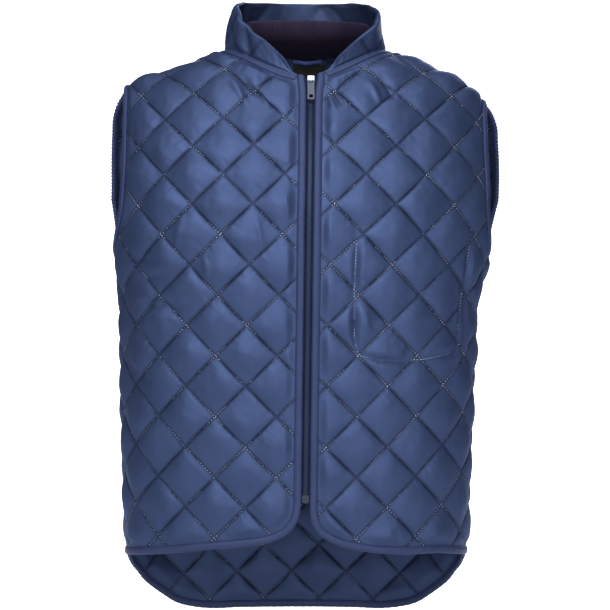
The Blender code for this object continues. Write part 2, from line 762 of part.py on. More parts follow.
def collar_grid(edge):
    """Middle points and outward directions of the stand collar: rows up it, stations round it."""
    base = edge["e"] + edge["out"] * SEAM_GAP + edge["en"] * (WALL / 2)
    lengths = np.concatenate([[0], np.cumsum(np.linalg.norm(np.diff(base, axis=0), axis=1))])
    share = 1 - np.abs(2 * lengths / lengths[-1] - 1)
    level = np.gradient(base, axis=0) * (1, 1, 0)
    over = unit(np.cross((0, 0, 1), level))
    lean = read_table(COLLAR_TOP, COLLAR_COLUMNS, "lean", share)
    top = base + over * lean[:, None]
    top[:, 2] = read_table(COLLAR_TOP, COLLAR_COLUMNS, "z", share)
    start = ease(share / 0.06)[:, None]
    top = (base + edge["out"] * 0.003) * (1 - start) + top * start
    height = np.linalg.norm(top - base, axis=1)
    bend = base + edge["out"] * np.minimum(0.005, height * 0.3)[:, None]
    upper = top * 0.8 + base * 0.2 - over * (lean * 0.5)[:, None]
    rows = []
    for r in COLLAR_ROWS:
        lower = (1 - r) ** 3 * base + 3 * (1 - r) ** 2 * r * bend
        rows.append(lower + 3 * (1 - r) * r**2 * upper + r**3 * top)
    grid = np.array(rows)
    along = np.gradient(grid, axis=1)
    up = np.gradient(grid, axis=0)
    outward = unit(np.cross(along, up))
    outward *= np.sign((outward * edge["en"][None]).sum(axis=2)[:1, :, None])
    outward[0] = edge["en"]
    half = np.minimum(COLLAR_HALF_WALL, height * 0.2)[None, :] * ease(np.array(COLLAR_ROWS) / 0.3)[:, None]
    half = np.maximum(half, np.minimum(WALL / 2, height * 0.2)[None, :])
    half[-1] *= 0.55
    return grid, outward, half, share


def sheet_solid(name, outer, inner, material):
    """A wall between two matching grids of points."""
    rows, columns = outer.shape[:2]
    count = rows * columns
    ids = np.arange(count).reshape(rows, columns)
    faces = []
    for a in range(rows - 1):
        for b in range(columns - 1):
            quad = (ids[a, b], ids[a, b + 1], ids[a + 1, b + 1], ids[a + 1, b])
            faces.append(quad)
            faces.append(tuple(i + count for i in quad[::-1]))
    around = list(ids[0]) + list(ids[1:, -1]) + list(ids[-1, -2::-1]) + list(ids[-2:0:-1, 0])
    for a, b in zip(around, around[1:] + around[:1]):
        faces.append((b, a, a + count, b + count))
    return solid(name, np.concatenate([outer.reshape(-1, 3), inner.reshape(-1, 3)]), faces, material)


def make_collar(edge, material, rib_material):
    grid, outward, half, share = collar_grid(edge)
    outer = grid + outward * half[:, :, None]
    inner = grid - outward * half[:, :, None]
    sheet_solid("collar", outer, inner, material)

    kept = np.where(share > RIB_START)[0]
    rows = np.array(COLLAR_ROWS)
    rises = rows[1:-1] * RIB_RISE
    near, far = [], []
    for k in kept:
        low = 0.30 + 0.70 * ease((share[k] - RIB_START) / RIB_ROUND)
        place = rises * low
        spot = np.column_stack([np.interp(place, rows, inner[:, k, c]) for c in range(3)])
        turned = np.column_stack([np.interp(place, rows, outward[:, k, c]) for c in range(3)])
        away = SEAM_GAP + RIB_AWAY * ease(place / 0.5)
        near.append(spot - turned * away[:, None])
        far.append(spot - turned * (away[:, None] + RIB_WALL))
    near, far = np.array(near).transpose(1, 0, 2), np.array(far).transpose(1, 0, 2)
    sheet_solid("rib_collar", near, far, rib_material)


def zip_frame(face, z):
    """Origin and directions at the zip: across, up the cloth and out of it."""
    flat = face.flat_xz(float(zip_x(z) - section("centre_x", z)), z, 1)
    points, normals = face.at(np.array([flat, flat + (0, 0.002), flat - (0, 0.002)]))
    up = unit(points[1] - points[2])
    out = normals[0] - up * (normals[0] @ up)
    out = unit(out * (0, 1, 1))
    across = np.array([1.0, 0.0, 0.0])
    return points[0], across, unit(np.cross(out, across)) * np.sign(up[2]), out


def prism(name, outline, low, high, frame, material, plane, origin=(0, 0, 0)):
    """A flat outline with thickness. Plane "face" lies along the cloth, "side" stands across it."""
    start, across, up, out = frame
    points = []
    for depth in (low, high):
        for a, b in outline:
            if plane == "face":
                points.append(start + across * a + up * b + out * depth)
            else:
                points.append(start + across * depth + up * a + out * b)
    count = len(outline)
    faces = [tuple(range(count))[::-1], tuple(range(count, 2 * count))]
    for k in range(count):
        m = (k + 1) % count
        faces.append((k, m, m + count, k + count))
    return solid(name, points, faces, material, origin)


def cutter(made):
    made.hide_render = True
    made.display_type = "WIRE"
    return made


def boolean(target, other, operation):
    modifier = target.modifiers.new(operation.lower() + "_" + other.name, "BOOLEAN")
    modifier.operation = operation
    modifier.object = cutter(other)


def make_slider(frame, material):
    """Two plates joined by a post, with an arch on the upper plate that holds the pull."""
    long, half = SLIDER_LONG, SLIDER_HALF
    plate = [(-half, -0.0015), (-0.0032, 0), (0.0032, 0), (half, -0.0015),
             (0.0040, -long + 0.001), (0.0032, -long), (-0.0032, -long), (-0.0040, -long + 0.001)]
    body = prism("zip_slider", plate, -0.0003, 0.0010, frame, material, "face")
    lower = prism("slider_lower_plate", plate, -0.0054, -0.0041, frame, material, "face")
    stem = [(-0.0012, -0.0004), (0.0012, -0.0004), (0.0012, -0.0030), (-0.0012, -0.0030)]
    post = prism("slider_post", stem, -0.0042, -0.0002, frame, material, "face")
    arch = [(-0.0075, 0.0008), (-0.0075, 0.0038), (-0.0087, 0.0052), (-0.0123, 0.0052), (-0.0135, 0.0040),
            (-0.0135, 0.0008), (-0.0125, 0.0008), (-0.0125, 0.0036), (-0.0119, 0.0041), (-0.0093, 0.0041),
            (-0.0087, 0.0036), (-0.0087, 0.0008)]
    bridge = prism("slider_arch", arch, -0.0015, 0.0015, frame, material, "side")
    for other in (post, lower, bridge):
        boolean(body, other, "UNION")


def make_pull(frame, material):
    start, across, up, out = frame
    pivot = start - up * PIVOT_DOWN + out * PIVOT_OUT
    half, low = PULL_HALF, -PULL_LONG
    plate = [(-half, low + 0.0008), (-half + 0.0008, low), (half - 0.0008, low), (half, low + 0.0008),
             (half, -0.0010), (0.0030, 0.0008), (-0.0030, 0.0008), (-half, -0.0010)]
    at_pivot = (pivot, across, up, out)
    pull = prism("zip_pull", plate, -PULL_WALL / 2, PULL_WALL / 2, at_pivot, material, "face", pivot)
    window = [(-0.0021, -0.0008), (-0.0021, -0.0058), (0.0021, -0.0058), (0.0021, -0.0008)]
    hole = [(-0.0024, -0.0250), (-0.0024, -0.0305), (0.0024, -0.0305), (0.0024, -0.0250)]
    for name, outline in (("pull_window", window), ("pull_hole", hole)):
        boolean(pull, prism(name, outline, -0.003, 0.003, at_pivot, material, "face"), "DIFFERENCE")


def zip_strip(name, panel, low, high, sides, material, first=0, last=None):
    """A strip beside the zip line through the stations of a front's centre edge."""
    run = panel.run("edge")["points"]
    heights = panel.space(run)[0][:, 2]
    stations = [z for z in heights if z > ZIP_END_Z - 0.003][first:last]
    profiles = []
    for z in stations:
        line = float(zip_x(z) - section("centre_x", z))
        t = panel.face.flat_xz(line, z, 1)[1]
        points, normals = panel.face.at(np.array([(line + side, t) for side in sides]))
        normals = np.repeat(normals.mean(axis=0)[None], 2, axis=0)
        profiles.append([points[0] + normals[0] * high, points[1] + normals[1] * high,
                         points[1] + normals[1] * low, points[0] + normals[0] * low])
    return swept(name, profiles, False, material)


def make_zip_box(face, material):
    """Box that closes the lower end of the zip."""
    frame = zip_frame(face, ZIP_END_Z + BOX_LONG / 2)
    half, long = BOX_HALF, BOX_LONG / 2
    outline = [(-half, long - 0.001), (-half + 0.001, long), (half - 0.001, long), (half, long - 0.001),
               (half, -long + 0.001), (half - 0.001, -long), (-half + 0.001, -long), (-half, -long + 0.001)]
    prism("zip_box", outline, -0.0012, 0.0010, frame, material, "face")


def make_label_and_loop(back, label_material, loop_material):
    """Both lie on the inside of the back, below the neck seam."""
    neck = back.run("neck")["row"]
    middle = neck[len(neck) // 2]
    rows = []
    for drop in (0.0012, 0.0108, 0.0204, LABEL_SIZE[1] + 0.0012):
        across = np.linspace(-LABEL_SIZE[0] / 2, LABEL_SIZE[0] / 2, 4) + LABEL_CENTRE
        rows.append(np.column_stack([across, np.full(4, middle[1] - drop)]))
    back.extra_inside += rows
    grid = np.array([back.space(row) for row in rows])
    points, normals = grid[:, 0], grid[:, 1]
    near, far = points - normals * SEAM_GAP, points - normals * (SEAM_GAP + LABEL_WALL)
    sheet_solid("neck_label", near, far, label_material)

    top = back.run("neck")["points"][len(neck) // 2][1] - 0.0012
    across = np.linspace(-0.5, 0.5, 9)
    profiles = []
    for share in across:
        s = LABEL_CENTRE - 0.0035 + share * LOOP_SIZE[0]
        pair, out = back.space([(s, top), (s, top - LOOP_SIZE[1])])
        bow = SEAM_GAP + 0.0045 * math.cos(math.pi * share) ** 2
        profiles.append([pair[0] - out[0] * bow, pair[1] - out[1] * bow,
                         pair[1] - out[1] * (bow + 0.0009), pair[0] - out[0] * (bow + 0.0009)])
    swept("hanger_loop", profiles, False, loop_material)


def clear_scene():
    for old in list(bpy.data.objects):
        bpy.data.objects.remove(old, do_unlink=True)


def main():
    clear_scene()
    shell = new_material("shell", NAVY, 0.32)
    edging = new_material("binding", NAVY_EDGE, 0.42)
    knit = new_material("rib_knit", NAVY_BLACK, 0.95)
    tape = new_material("zip_tape", (0.014, 0.020, 0.050), 0.85)
    teeth = new_material("zip_teeth", (0.035, 0.050, 0.085), 0.45)
    metal = new_material("gunmetal", (0.10, 0.12, 0.17), 0.30, 1.0)
    satin = new_material("loop_satin", (0.060, 0.085, 0.260), 0.35)
    label = new_material("label", (0.012, 0.013, 0.011), 0.75)

    front, rear = BodyFace(FRONT), BodyFace(BACK)
    fronts = {
        -1: make_front("front_right", front, -1, HEM_RIGHT),
        1: make_front("front_left", front, 1, HEM_LEFT),
    }
    pocket = []
    for row in POCKET:
        s, z = row[POCKET_COLUMNS.index("s")], row[POCKET_COLUMNS.index("z")]
        heights = front.column(front.points[:, :, 2], s)
        pocket.append((s, np.interp(z, heights, front.column(front.t, s))))
    fronts[1].grooves.append(even(pocket, STATION))
    back = make_back(rear)
    make_label_and_loop(back, label, satin)
    for panel in (fronts[-1], fronts[1], back):
        panel.build(shell)

    for hand, side in ((-1, "right"), (1, "left")):
        binding("front_binding_" + side, fronts[hand].edge("edge"), False, edging)
        rear_edge = back.edge("armhole_" + side)
        if hand == -1:
            rear_edge = reverse_edge(rear_edge)
        fore_edge = fronts[hand].edge("armhole")
        ring = close_edge(join_edges(reverse_edge(fore_edge), rear_edge))
        waves = np.zeros(len(ring["e"]))
        gathered = np.arange(len(fore_edge["e"]) + 2, len(waves) - 2)
        waves[gathered[::2]] = GATHER_RISE
        binding("armhole_binding_" + side, ring, True, edging, waves)
    binding("tail_binding", back.edge("tail"), False, edging)

    neck = neck_edge(fronts, back)
    low, high = SEAM_GAP, SEAM_GAP + BAND_WALL
    band = []
    for k in range(len(neck["e"])):
        e, i = neck["e"][k], neck["i"][k]
        e_n, i_n = neck["en"][k], neck["in"][k]
        band.append([e + e_n * (WALL + low), e + e_n * (WALL + high),
                     i + i_n * (WALL + high), i + i_n * (WALL + low)])
    splits = [BAND_SPLITS if way > 0 else [not split for split in BAND_SPLITS] for way in stretch_ways(neck)]
    swept("neck_band", band, False, edging, splits=splits)
    make_collar(neck, shell, knit)

    for hand, side in ((-1, "right"), (1, "left")):
        sides = [hand * TAPE_FROM, hand * TAPE_TO]
        zip_strip("zip_tape_" + side, fronts[hand], TAPE_IN, TAPE_OUT, sides, tape)
    zip_strip("zip_chain", fronts[1], CHAIN_IN, CHAIN_OUT, [-CHAIN_HALF, CHAIN_HALF], teeth, 1)
    make_slider(zip_frame(front, SLIDER_TOP_Z), metal)
    make_pull(zip_frame(front, SLIDER_TOP_Z), metal)
    make_zip_box(front, metal)


main()
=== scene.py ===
"""Looks of the quilted bodywarmer: fine quilted cloth, stitches, bindings, knit and zip on the CAD form.

Metres, in the part's own frame: +Z up, front towards -Y, the wearer's left +X. The cloth is drawn
flat, s across and t up from the underarm level, and laid on the same body form as the solids.
"""

import math

import bpy
import numpy as np
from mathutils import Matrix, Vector
from mathutils.geometry import delaunay_2d_cdt


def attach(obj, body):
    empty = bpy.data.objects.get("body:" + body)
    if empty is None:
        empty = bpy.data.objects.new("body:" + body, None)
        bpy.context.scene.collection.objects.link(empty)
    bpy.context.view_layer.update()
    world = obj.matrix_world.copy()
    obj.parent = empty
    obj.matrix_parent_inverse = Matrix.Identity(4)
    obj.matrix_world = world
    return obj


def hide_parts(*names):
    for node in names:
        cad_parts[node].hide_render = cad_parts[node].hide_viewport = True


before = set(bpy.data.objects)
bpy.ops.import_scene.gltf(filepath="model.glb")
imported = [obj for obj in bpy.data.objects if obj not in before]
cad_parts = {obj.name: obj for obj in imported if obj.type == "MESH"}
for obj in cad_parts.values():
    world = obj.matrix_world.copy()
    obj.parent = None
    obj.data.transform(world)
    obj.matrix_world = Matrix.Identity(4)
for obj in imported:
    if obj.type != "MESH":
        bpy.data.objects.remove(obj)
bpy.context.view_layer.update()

# Cloth
WALL = 0.0020
PUFF = 0.0050
SEAM_GAP = 0.00004
DIAMOND_WIDTH = 0.0757
DIAMOND_HEIGHT = 0.0747
SEAM_FADE = 0.012

# Heights and the main widths of the cut
UNDERARM_Z = -0.262
SIDE_HEM_Z = -0.6547
NECK_HALF = 0.105
NECK_FRONT = 0.072
NECK_BACK = 0.072
BACK_NECK_RISE = 0.0211
TIP_HALF = 0.2337
ZIP_TOP_Z, ZIP_TOP_X = -0.0435, 0.0075
ZIP_END_Z, ZIP_END_X = -0.5740, 0.0006

# Bindings
BINDING_WIDTH = 0.0085
EDGE_FROM_ZIP = 0.0063
TOP_FLARE, FLARE_LONG = 0.0030, 0.0300
STATION = 0.0030
GATHER_STATION = 0.0012
GATHER_PITCH = 0.0046
GATHER_RISE = 0.0006

# Fullness of the rings, and of the arches from the underarm up to the shoulder
RING_POWER = 2.5
FRONT_ARCH, BACK_ARCH = 2.0, 3.0
FRONT, BACK = -1, 1

# The inside of the form: the centre line's x, half widths and depths at each height
SECTION_COLUMNS = ("z", "centre_x", "front_half", "back_half", "front_depth", "back_depth")
SECTIONS = (
    (-0.775, -0.0115, 0.2150, 0.2150, 0.128, 0.127),
    (-0.656, -0.0115, 0.2185, 0.2185, 0.128, 0.126),
    (-0.500, -0.0105, 0.2235, 0.2235, 0.130, 0.125),
    (-0.400, -0.0095, 0.2265, 0.2265, 0.131, 0.124),
    (-0.320, -0.0075, 0.2305, 0.2305, 0.132, 0.123),
    (-0.262, -0.0040, 0.2415, 0.2415, 0.132, 0.122),
    (-0.190, 0.0000, 0.2450, 0.2620, 0.131, 0.124),
    (-0.100, 0.0000, 0.2460, 0.2680, 0.130, 0.125),
    (0.030, 0.0000, 0.2460, 0.2600, 0.129, 0.125),
)

# Height of the shoulder line; the wearer's left shoulder droops a little more
SHOULDER_COLUMNS = ("x", "right_z", "left_z")
SHOULDERS = (
    (0.000, 0.0000, 0.0000),
    (0.095, 0.0000, 0.0000),
    (0.120, -0.0070, -0.0070),
    (0.170, -0.0270, -0.0260),
    (0.205, -0.0345, -0.0430),
    (0.236, -0.0500, -0.0700),
    (0.280, -0.0800, -0.1050),
)

# Armhole edges above the curve under the arm: distance from the centre line at each height
ARMHOLE_COLUMNS = ("z", "front_out", "back_out")
ARMHOLES = (
    (-0.190, 0.2330, 0.2555),
    (-0.150, 0.2315, 0.2565),
    (-0.105, 0.2315, 0.2550),
    (-0.080, 0.2320, 0.2525),
    (-0.064, 0.2328, 0.2455),
    (-0.050, 0.2337, 0.2337),
)
ARMHOLE_CURVE_Z = -0.190

# Front hems: distance from the zip, and height
HEM_COLUMNS = ("from_zip", "z")
HEM_RIGHT = (
    (0.0063, -0.5760),
    (0.0100, -0.5940),
    (0.0230, -0.6117),
    (0.0436, -0.6213),
    (0.0750, -0.6267),
    (0.1106, -0.6307),
    (0.1650, -0.6380),
)
HEM_LEFT = (
    (0.0063, -0.5800),
    (0.0090, -0.5965),
    (0.0170, -0.6110),
    (0.0324, -0.6213),
    (0.0714, -0.6327),
    (0.1140, -0.6377),
    (0.1650, -0.6395),
)

# Tail: distance from the centre line, and height
TAIL_COLUMNS = ("out", "z")
TAIL = (
    (0.0000, -0.7500),
    (0.0800, -0.7500),
    (0.1250, -0.7490),
    (0.1640, -0.7380),
    (0.1850, -0.7210),
    (0.2010, -0.7040),
    (0.2120, -0.6840),
)

# Where a crossing of the stitch lines lies on each panel, in s and t
CROSSINGS = {"front_right": (-0.0245, -0.0574), "front_left": (0.0738, -0.0574), "back": (-0.0075, -0.4394)}

# Stitched outline of the inner pocket on the left front, in s and z
POCKET = (
    (0.0660, -0.2370),
    (0.0670, -0.3000),
    (0.0690, -0.3700),
    (0.0740, -0.3930),
    (0.0990, -0.3990),
    (0.1290, -0.4000),
    (0.1600, -0.3985),
    (0.1930, -0.3930),
    (0.2080, -0.3850),
    (0.2130, -0.3400),
    (0.2150, -0.3000),
    (0.2190, -0.2500),
)

# Top edge of the stand collar: share of the way from its front end to the centre back, how far it
# leans out over the neck seam, and its height
COLLAR_COLUMNS = ("share", "lean", "z")
COLLAR_TOP = (
    (0.00, 0.0000, -0.0400),
    (0.05, 0.0000, -0.0225),
    (0.13, 0.0010, -0.0030),
    (0.20, 0.0030, 0.0110),
    (0.29, 0.0030, 0.0290),
    (0.36, -0.0050, 0.0460),
    (0.43, -0.0150, 0.0560),
    (0.52, -0.0200, 0.0630),
    (0.64, -0.0180, 0.0685),
    (0.80, -0.0100, 0.0735),
    (1.00, -0.0040, 0.0760),
)
COLLAR_HALF_WALL = 0.0024
COLLAR_START = 0.0008
RIB_WALL = 0.0025
RIB_AWAY = 0.0100
RIB_START, RIB_RISE = 0.38, 0.75
RIB_ROUND = 0.12

# Zip
TAPE_FROM, TAPE_TO, TAPE_IN, TAPE_OUT = 0.0006, 0.0143, -0.0024, -0.0016

LABEL_SIZE = (0.042, 0.030)
LABEL_CENTRE, LABEL_WALL = 0.006, 0.0006
LOOP_SIZE = (0.035, 0.0062)


def read_table(rows, columns, name, at):
    """Smooth value of one column at a place in the table's first column."""
    table = np.array(rows, float)
    keys, values = table[:, 0], table[:, columns.index(name)]
    slopes = np.gradient(values, keys)
    at = np.clip(at, keys[0], keys[-1])
    i = np.clip(np.searchsorted(keys, at) - 1, 0, len(keys) - 2)
    width = keys[i + 1] - keys[i]
    r = (at - keys[i]) / width
    start = (1 + 2 * r) * (1 - r) ** 2 * values[i] + r * (1 - r) ** 2 * width * slopes[i]
    return start + r**2 * (3 - 2 * r) * values[i + 1] + r**2 * (r - 1) * width * slopes[i + 1]


def section(name, z):
    return read_table(SECTIONS, SECTION_COLUMNS, name, z)


def zip_x(z):
    share = (ZIP_TOP_Z - z) / (ZIP_TOP_Z - ZIP_END_Z)
    return ZIP_TOP_X + (ZIP_END_X - ZIP_TOP_X) * share


def ease(value):
    value = np.clip(value, 0, 1)
    return value * value * (3 - 2 * value)


def unit(vectors):
    return vectors / np.maximum(np.linalg.norm(vectors, axis=-1, keepdims=True), 1e-12)


def smooth_lookup(table, across, up):
    """Values between a table's places by a smooth curve through the four nearest each way."""
    found = 0
    picks = []
    for place, count in ((across, table.shape[0]), (up, table.shape[1])):
        low = np.clip(np.floor(place).astype(int), 0, count - 2)
        r = place - low
        weights = [
            -0.5 * r + r**2 - 0.5 * r**3,
            1 - 2.5 * r**2 + 1.5 * r**3,
            0.5 * r + 2 * r**2 - 1.5 * r**3,
            -0.5 * r**2 + 0.5 * r**3,
        ]
        picks.append([(np.clip(low + k - 1, 0, count - 1), weights[k]) for k in range(4)])
    for i, wi in picks[0]:
        for j, wj in picks[1]:
            found = found + table[i, j] * (wi * wj)[:, None]
    return found


class BodyFace:
    """The front or back of the form, as a table from flat cloth points to points in space."""

    STEP = 0.004
    REACH = 0.36

    def __init__(self, facing):
        self.facing = facing
        side = "front" if facing == FRONT else "back"
        self.half, self.depth = side + "_half", side + "_depth"
        self.arch = FRONT_ARCH if facing == FRONT else BACK_ARCH
        self.s = np.arange(-self.REACH, self.REACH + self.STEP / 2, self.STEP)
        low = np.linspace(SECTIONS[0][0], UNDERARM_Z, 90)
        turns = np.linspace(0, math.pi / 2, 60)[1:]
        rows = [self.ring_row(z) for z in low] + [self.arch_row(turn) for turn in turns]
        self.points = np.array(rows).transpose(1, 0, 2)
        across = np.gradient(self.points, axis=0)
        along = np.gradient(self.points, axis=1)
        self.normals = unit(np.cross(across, along) * -self.facing)
        steps = np.linalg.norm(np.diff(self.points, axis=1), axis=2)
        self.t = np.concatenate([np.zeros((len(self.s), 1)), np.cumsum(steps, axis=1)], axis=1)
        self.t -= self.t[:, [len(low) - 1]]

    def ring(self, z):
        """Angle and length of cloth round a quarter of the ring at a height."""
        angle = np.linspace(0, math.pi / 2, 400)
        x = section(self.half, z) * np.sin(angle) ** (2 / RING_POWER)
        y = section(self.depth, z) * np.cos(angle) ** (2 / RING_POWER)
        lengths = np.hypot(np.diff(x), np.diff(y))
        return angle, x, y, np.concatenate([[0], np.cumsum(lengths)])

    def ring_row(self, z):
        _, x, y, length = self.ring(z)
        out = np.interp(np.abs(self.s), length, x)
        deep = np.interp(np.abs(self.s), length, y) - np.maximum(np.abs(self.s) - length[-1], 0)
        x_world = section("centre_x", z) + np.sign(self.s) * out
        return np.column_stack([x_world, self.facing * deep, np.full(len(self.s), z)])

    def top_z(self, x):
        """Height of the shoulder line; the back neck stands higher than the front."""
        right = read_table(SHOULDERS, SHOULDER_COLUMNS, "right_z", np.abs(x))
        left = read_table(SHOULDERS, SHOULDER_COLUMNS, "left_z", np.abs(x))
        rise = BACK_NECK_RISE * np.clip(1 - (x / NECK_HALF) ** 2, 0, 1) ** 2
        return np.where(x > 0, left, right) + (rise if self.facing == BACK else 0)

    def arch_row(self, turn):
        angle, _, _, length = self.ring(UNDERARM_Z)
        theta = np.interp(np.abs(self.s), length, angle)
        side = np.sin(theta) ** (2 / RING_POWER)
        z = np.full(len(self.s), UNDERARM_Z)
        for _ in range(4):
            x = section("centre_x", z) + np.sign(self.s) * section(self.half, z) * side
            z = UNDERARM_Z + (self.top_z(x) - UNDERARM_Z) * math.sin(turn) ** (2 / self.arch)
        deep = section(self.depth, z) * np.cos(theta) ** (2 / RING_POWER)
        deep = deep * math.cos(turn) ** (2 / self.arch) - np.maximum(np.abs(self.s) - length[-1], 0)
        return np.column_stack([x, self.facing * deep, z])

    def tables(self):
        """The table again at even steps up each column, below and above the underarm level."""
        everything = np.concatenate([self.points, self.normals], axis=2)
        tops = self.t[:, -1]
        self.low_t = np.arange(-0.512, 0.0001, self.STEP)
        self.high_f = np.linspace(0, 1, 101)
        low, high = [], []
        for column, t, top in zip(everything, self.t, tops):
            low.append([np.interp(self.low_t, t, column[:, k]) for k in range(6)])
            high.append([np.interp(self.high_f * top, t, column[:, k]) for k in range(6)])
        self.low, self.high = np.array(low).transpose(0, 2, 1), np.array(high).transpose(0, 2, 1)
        self.tops = tops

    def at(self, flat):
        """Points and outward normals in space for flat points, smooth between the table's places."""
        flat = np.atleast_2d(np.array(flat, float))
        if not hasattr(self, "low"):
            self.tables()
        across = (flat[:, 0] - self.s[0]) / self.STEP
        top = np.interp(flat[:, 0], self.s, self.tops)
        up = flat[:, 1] > 0
        found = np.zeros((len(flat), 6))
        below = (flat[:, 1] - self.low_t[0]) / self.STEP
        found[~up] = smooth_lookup(self.low, across[~up], below[~up])
        share = np.clip(flat[:, 1] / top, 0, 1) * (len(self.high_f) - 1)
        found[up] = smooth_lookup(self.high, across[up], share[up])
        return found[:, :3], unit(found[:, 3:])

    def column(self, grid, s):
        """One column of a table, between the two nearest."""
        place = (s - self.s[0]) / self.STEP
        low = int(np.clip(math.floor(place), 0, len(self.s) - 2))
        return (1 - (place - low)) * grid[low] + (place - low) * grid[low + 1]

    def side_s(self, z):
        return self.ring(z)[3][-1]

    def flat_xz(self, out, z, hand):
        """Flat point for a distance out from the centre line and a height."""
        if z <= UNDERARM_Z:
            _, x, _, length = self.ring(z)
            s = np.sign(out) * np.interp(abs(out), x, length)
        else:
            angle, _, _, length = self.ring(UNDERARM_Z)
            side = np.clip(abs(out) / section(self.half, z), 0, 1) ** (RING_POWER / 2)
            s = np.sign(out) * np.interp(math.asin(side), angle, length)
        heights = self.column(self.points[:, :, 2], hand * s)
        return np.array([s, np.interp(z, heights, self.column(self.t, hand * s))])

    def flat_xy(self, out, y, hand):
        """Flat point above the underarm for a distance out and a depth."""
        z = 0.0
        for _ in range(4):
            s = self.flat_xz(out, z, hand)[0]
            deep = np.abs(self.column(self.points[:, :, 1], hand * s))
            heights = self.column(self.points[:, :, 2], hand * s)
            up = heights > UNDERARM_Z
            z = float(np.interp(-abs(y), -deep[up], heights[up]))
        return np.array([s, np.interp(-abs(y), -deep[up], self.column(self.t, hand * s)[up])])

    def top_t(self, s, hand):
        return self.column(self.t, hand * s)[-1]


def lengths_of(points):
    """How far along a run of joined lines each of its points is."""
    return np.concatenate([[0], np.cumsum(np.linalg.norm(np.diff(points, axis=0), axis=1))])


def picked(values, lengths, places):
    """Values at places along a line, between those given at its points."""
    return np.column_stack([np.interp(places, lengths, column) for column in values.T])


def even(points, spacing):
    """Points an even distance apart along a line through the given points."""
    points = np.array(points)
    lengths = lengths_of(points)
    places = np.linspace(0, lengths[-1], max(2, round(lengths[-1] / spacing) + 1))
    return picked(points, lengths, places)


def with_ends(points, first, last):
    """The points between two stations that lie one binding in from the ends of a seam."""
    points = np.array(points)
    lengths = lengths_of(points)
    places = np.linspace(first, lengths[-1] - last, max(2, round((lengths[-1] - first - last) / STATION) + 1))
    places = np.concatenate([[0] * (first > 0), places, [lengths[-1]] * (last > 0)])
    return picked(points, lengths, places)


def side_seam(face, hand, low_z):
    rows = [(face.side_s(z) - SEAM_GAP / 2, z) for z in np.linspace(low_z, UNDERARM_Z, 30)]
    rows = [(s, np.interp(z, face.column(face.points[:, :, 2], hand * s), face.column(face.t, hand * s)))
            for s, z in rows]
    return with_ends(rows, BINDING_WIDTH, BINDING_WIDTH)


def armhole(face, hand, spacing):
    """From the top of the side seam, under the arm and up to the shoulder tip."""
    out = "front_out" if face.facing == FRONT else "back_out"
    start = np.array([face.side_s(UNDERARM_Z) - SEAM_GAP / 2, 0.0])
    rise = face.flat_xz(read_table(ARMHOLES, ARMHOLE_COLUMNS, out, ARMHOLE_CURVE_Z), ARMHOLE_CURVE_Z, hand)
    curve = [start + (rise - start) * (math.sin(a), 1 - math.cos(a)) for a in np.linspace(0, math.pi / 2, 24)]
    tip_z = float(face.top_z(np.array(hand * TIP_HALF)))
    heights = np.linspace(ARMHOLE_CURVE_Z, tip_z - 0.004, 24)[1:]
    stretch = (ARMHOLES[-1][0] - ARMHOLE_CURVE_Z) / (tip_z - ARMHOLE_CURVE_Z)
    edge = []
    for z in heights:
        table_z = ARMHOLE_CURVE_Z + (z - ARMHOLE_CURVE_Z) * stretch
        edge.append(face.flat_xz(float(read_table(ARMHOLES, ARMHOLE_COLUMNS, out, table_z)), z, hand))
    line = even(curve + edge + [shoulder_point(face, hand, TIP_HALF)], spacing)
    near_tip = line[-1] + (line[-2] - line[-1]) * 0.35
    return np.concatenate([line[:-1], [near_tip], line[-1:]])


def shoulder_point(face, hand, out):
    z = float(face.top_z(np.array(hand * out)))
    s = face.flat_xz(out, z, hand)[0]
    return np.array([s, face.top_t(s, hand) - SEAM_GAP / 2])


def shoulder(face, hand):
    outs = np.linspace(TIP_HALF, NECK_HALF, 20)
    return with_ends([shoulder_point(face, hand, out) for out in outs], BINDING_WIDTH, BINDING_WIDTH)


def neckline(face, hand, stop_out):
    """From the shoulder to the centre, or to a distance out from it."""
    deep = NECK_FRONT if face.facing == FRONT else NECK_BACK
    power = 1.75 if face.facing == FRONT else 2.0
    last = math.asin((max(stop_out, 0) / NECK_HALF) ** (power / 2))
    points = [shoulder_point(face, hand, NECK_HALF)]
    for angle in np.linspace(math.pi / 2, last, 40)[2:]:
        out = NECK_HALF * math.sin(angle) ** (2 / power)
        points.append(face.flat_xy(out, deep * math.cos(angle) ** (2 / power), hand))
    return np.array(points)


def inset(points, first, last):
    """The line one binding width inside a run of the outline, with its ends given."""
    tangent = unit(np.gradient(points, axis=0))
    row = points + BINDING_WIDTH * np.column_stack([-tangent[:, 1], tangent[:, 0]])
    row[0], row[-1] = first, last
    return row


def nearest(points, line):
    """Distance from each point to a run of joined lines, and how far along the run that is."""
    if len(line) > 90:
        line = np.concatenate([line[:-1:3], line[-1:]])
    best = np.full(len(points), np.inf)
    along = np.zeros(len(points))
    run = 0.0
    for a, b in zip(line[:-1], line[1:]):
        span = b - a
        long = math.sqrt(span @ span)
        share = np.clip(((points - a) @ span) / max(long * long, 1e-12), 0, 1)
        gap = np.linalg.norm(points - a - share[:, None] * span, axis=1)
        closer = gap < best
        best = np.where(closer, gap, best)
        along = np.where(closer, run + share * long, along)
        run += long
    return best, along


def inside(points, loop):
    found = np.zeros(len(points), bool)
    for a, b in zip(loop, np.roll(loop, -1, axis=0)):
        crosses = (a[1] > points[:, 1]) != (b[1] > points[:, 1])
        at = a[0] + (points[:, 1] - a[1]) * (b[0] - a[0]) / (b[1] - a[1] + 1e-15)
        found ^= crosses & (points[:, 0] < at)
    return found


SIDE = math.hypot(DIAMOND_WIDTH, DIAMOND_HEIGHT) / 2
STEEP = 1 / math.hypot(1 / DIAMOND_WIDTH, 1 / DIAMOND_HEIGHT)
OUTSIDE, INSIDE = 1, -1

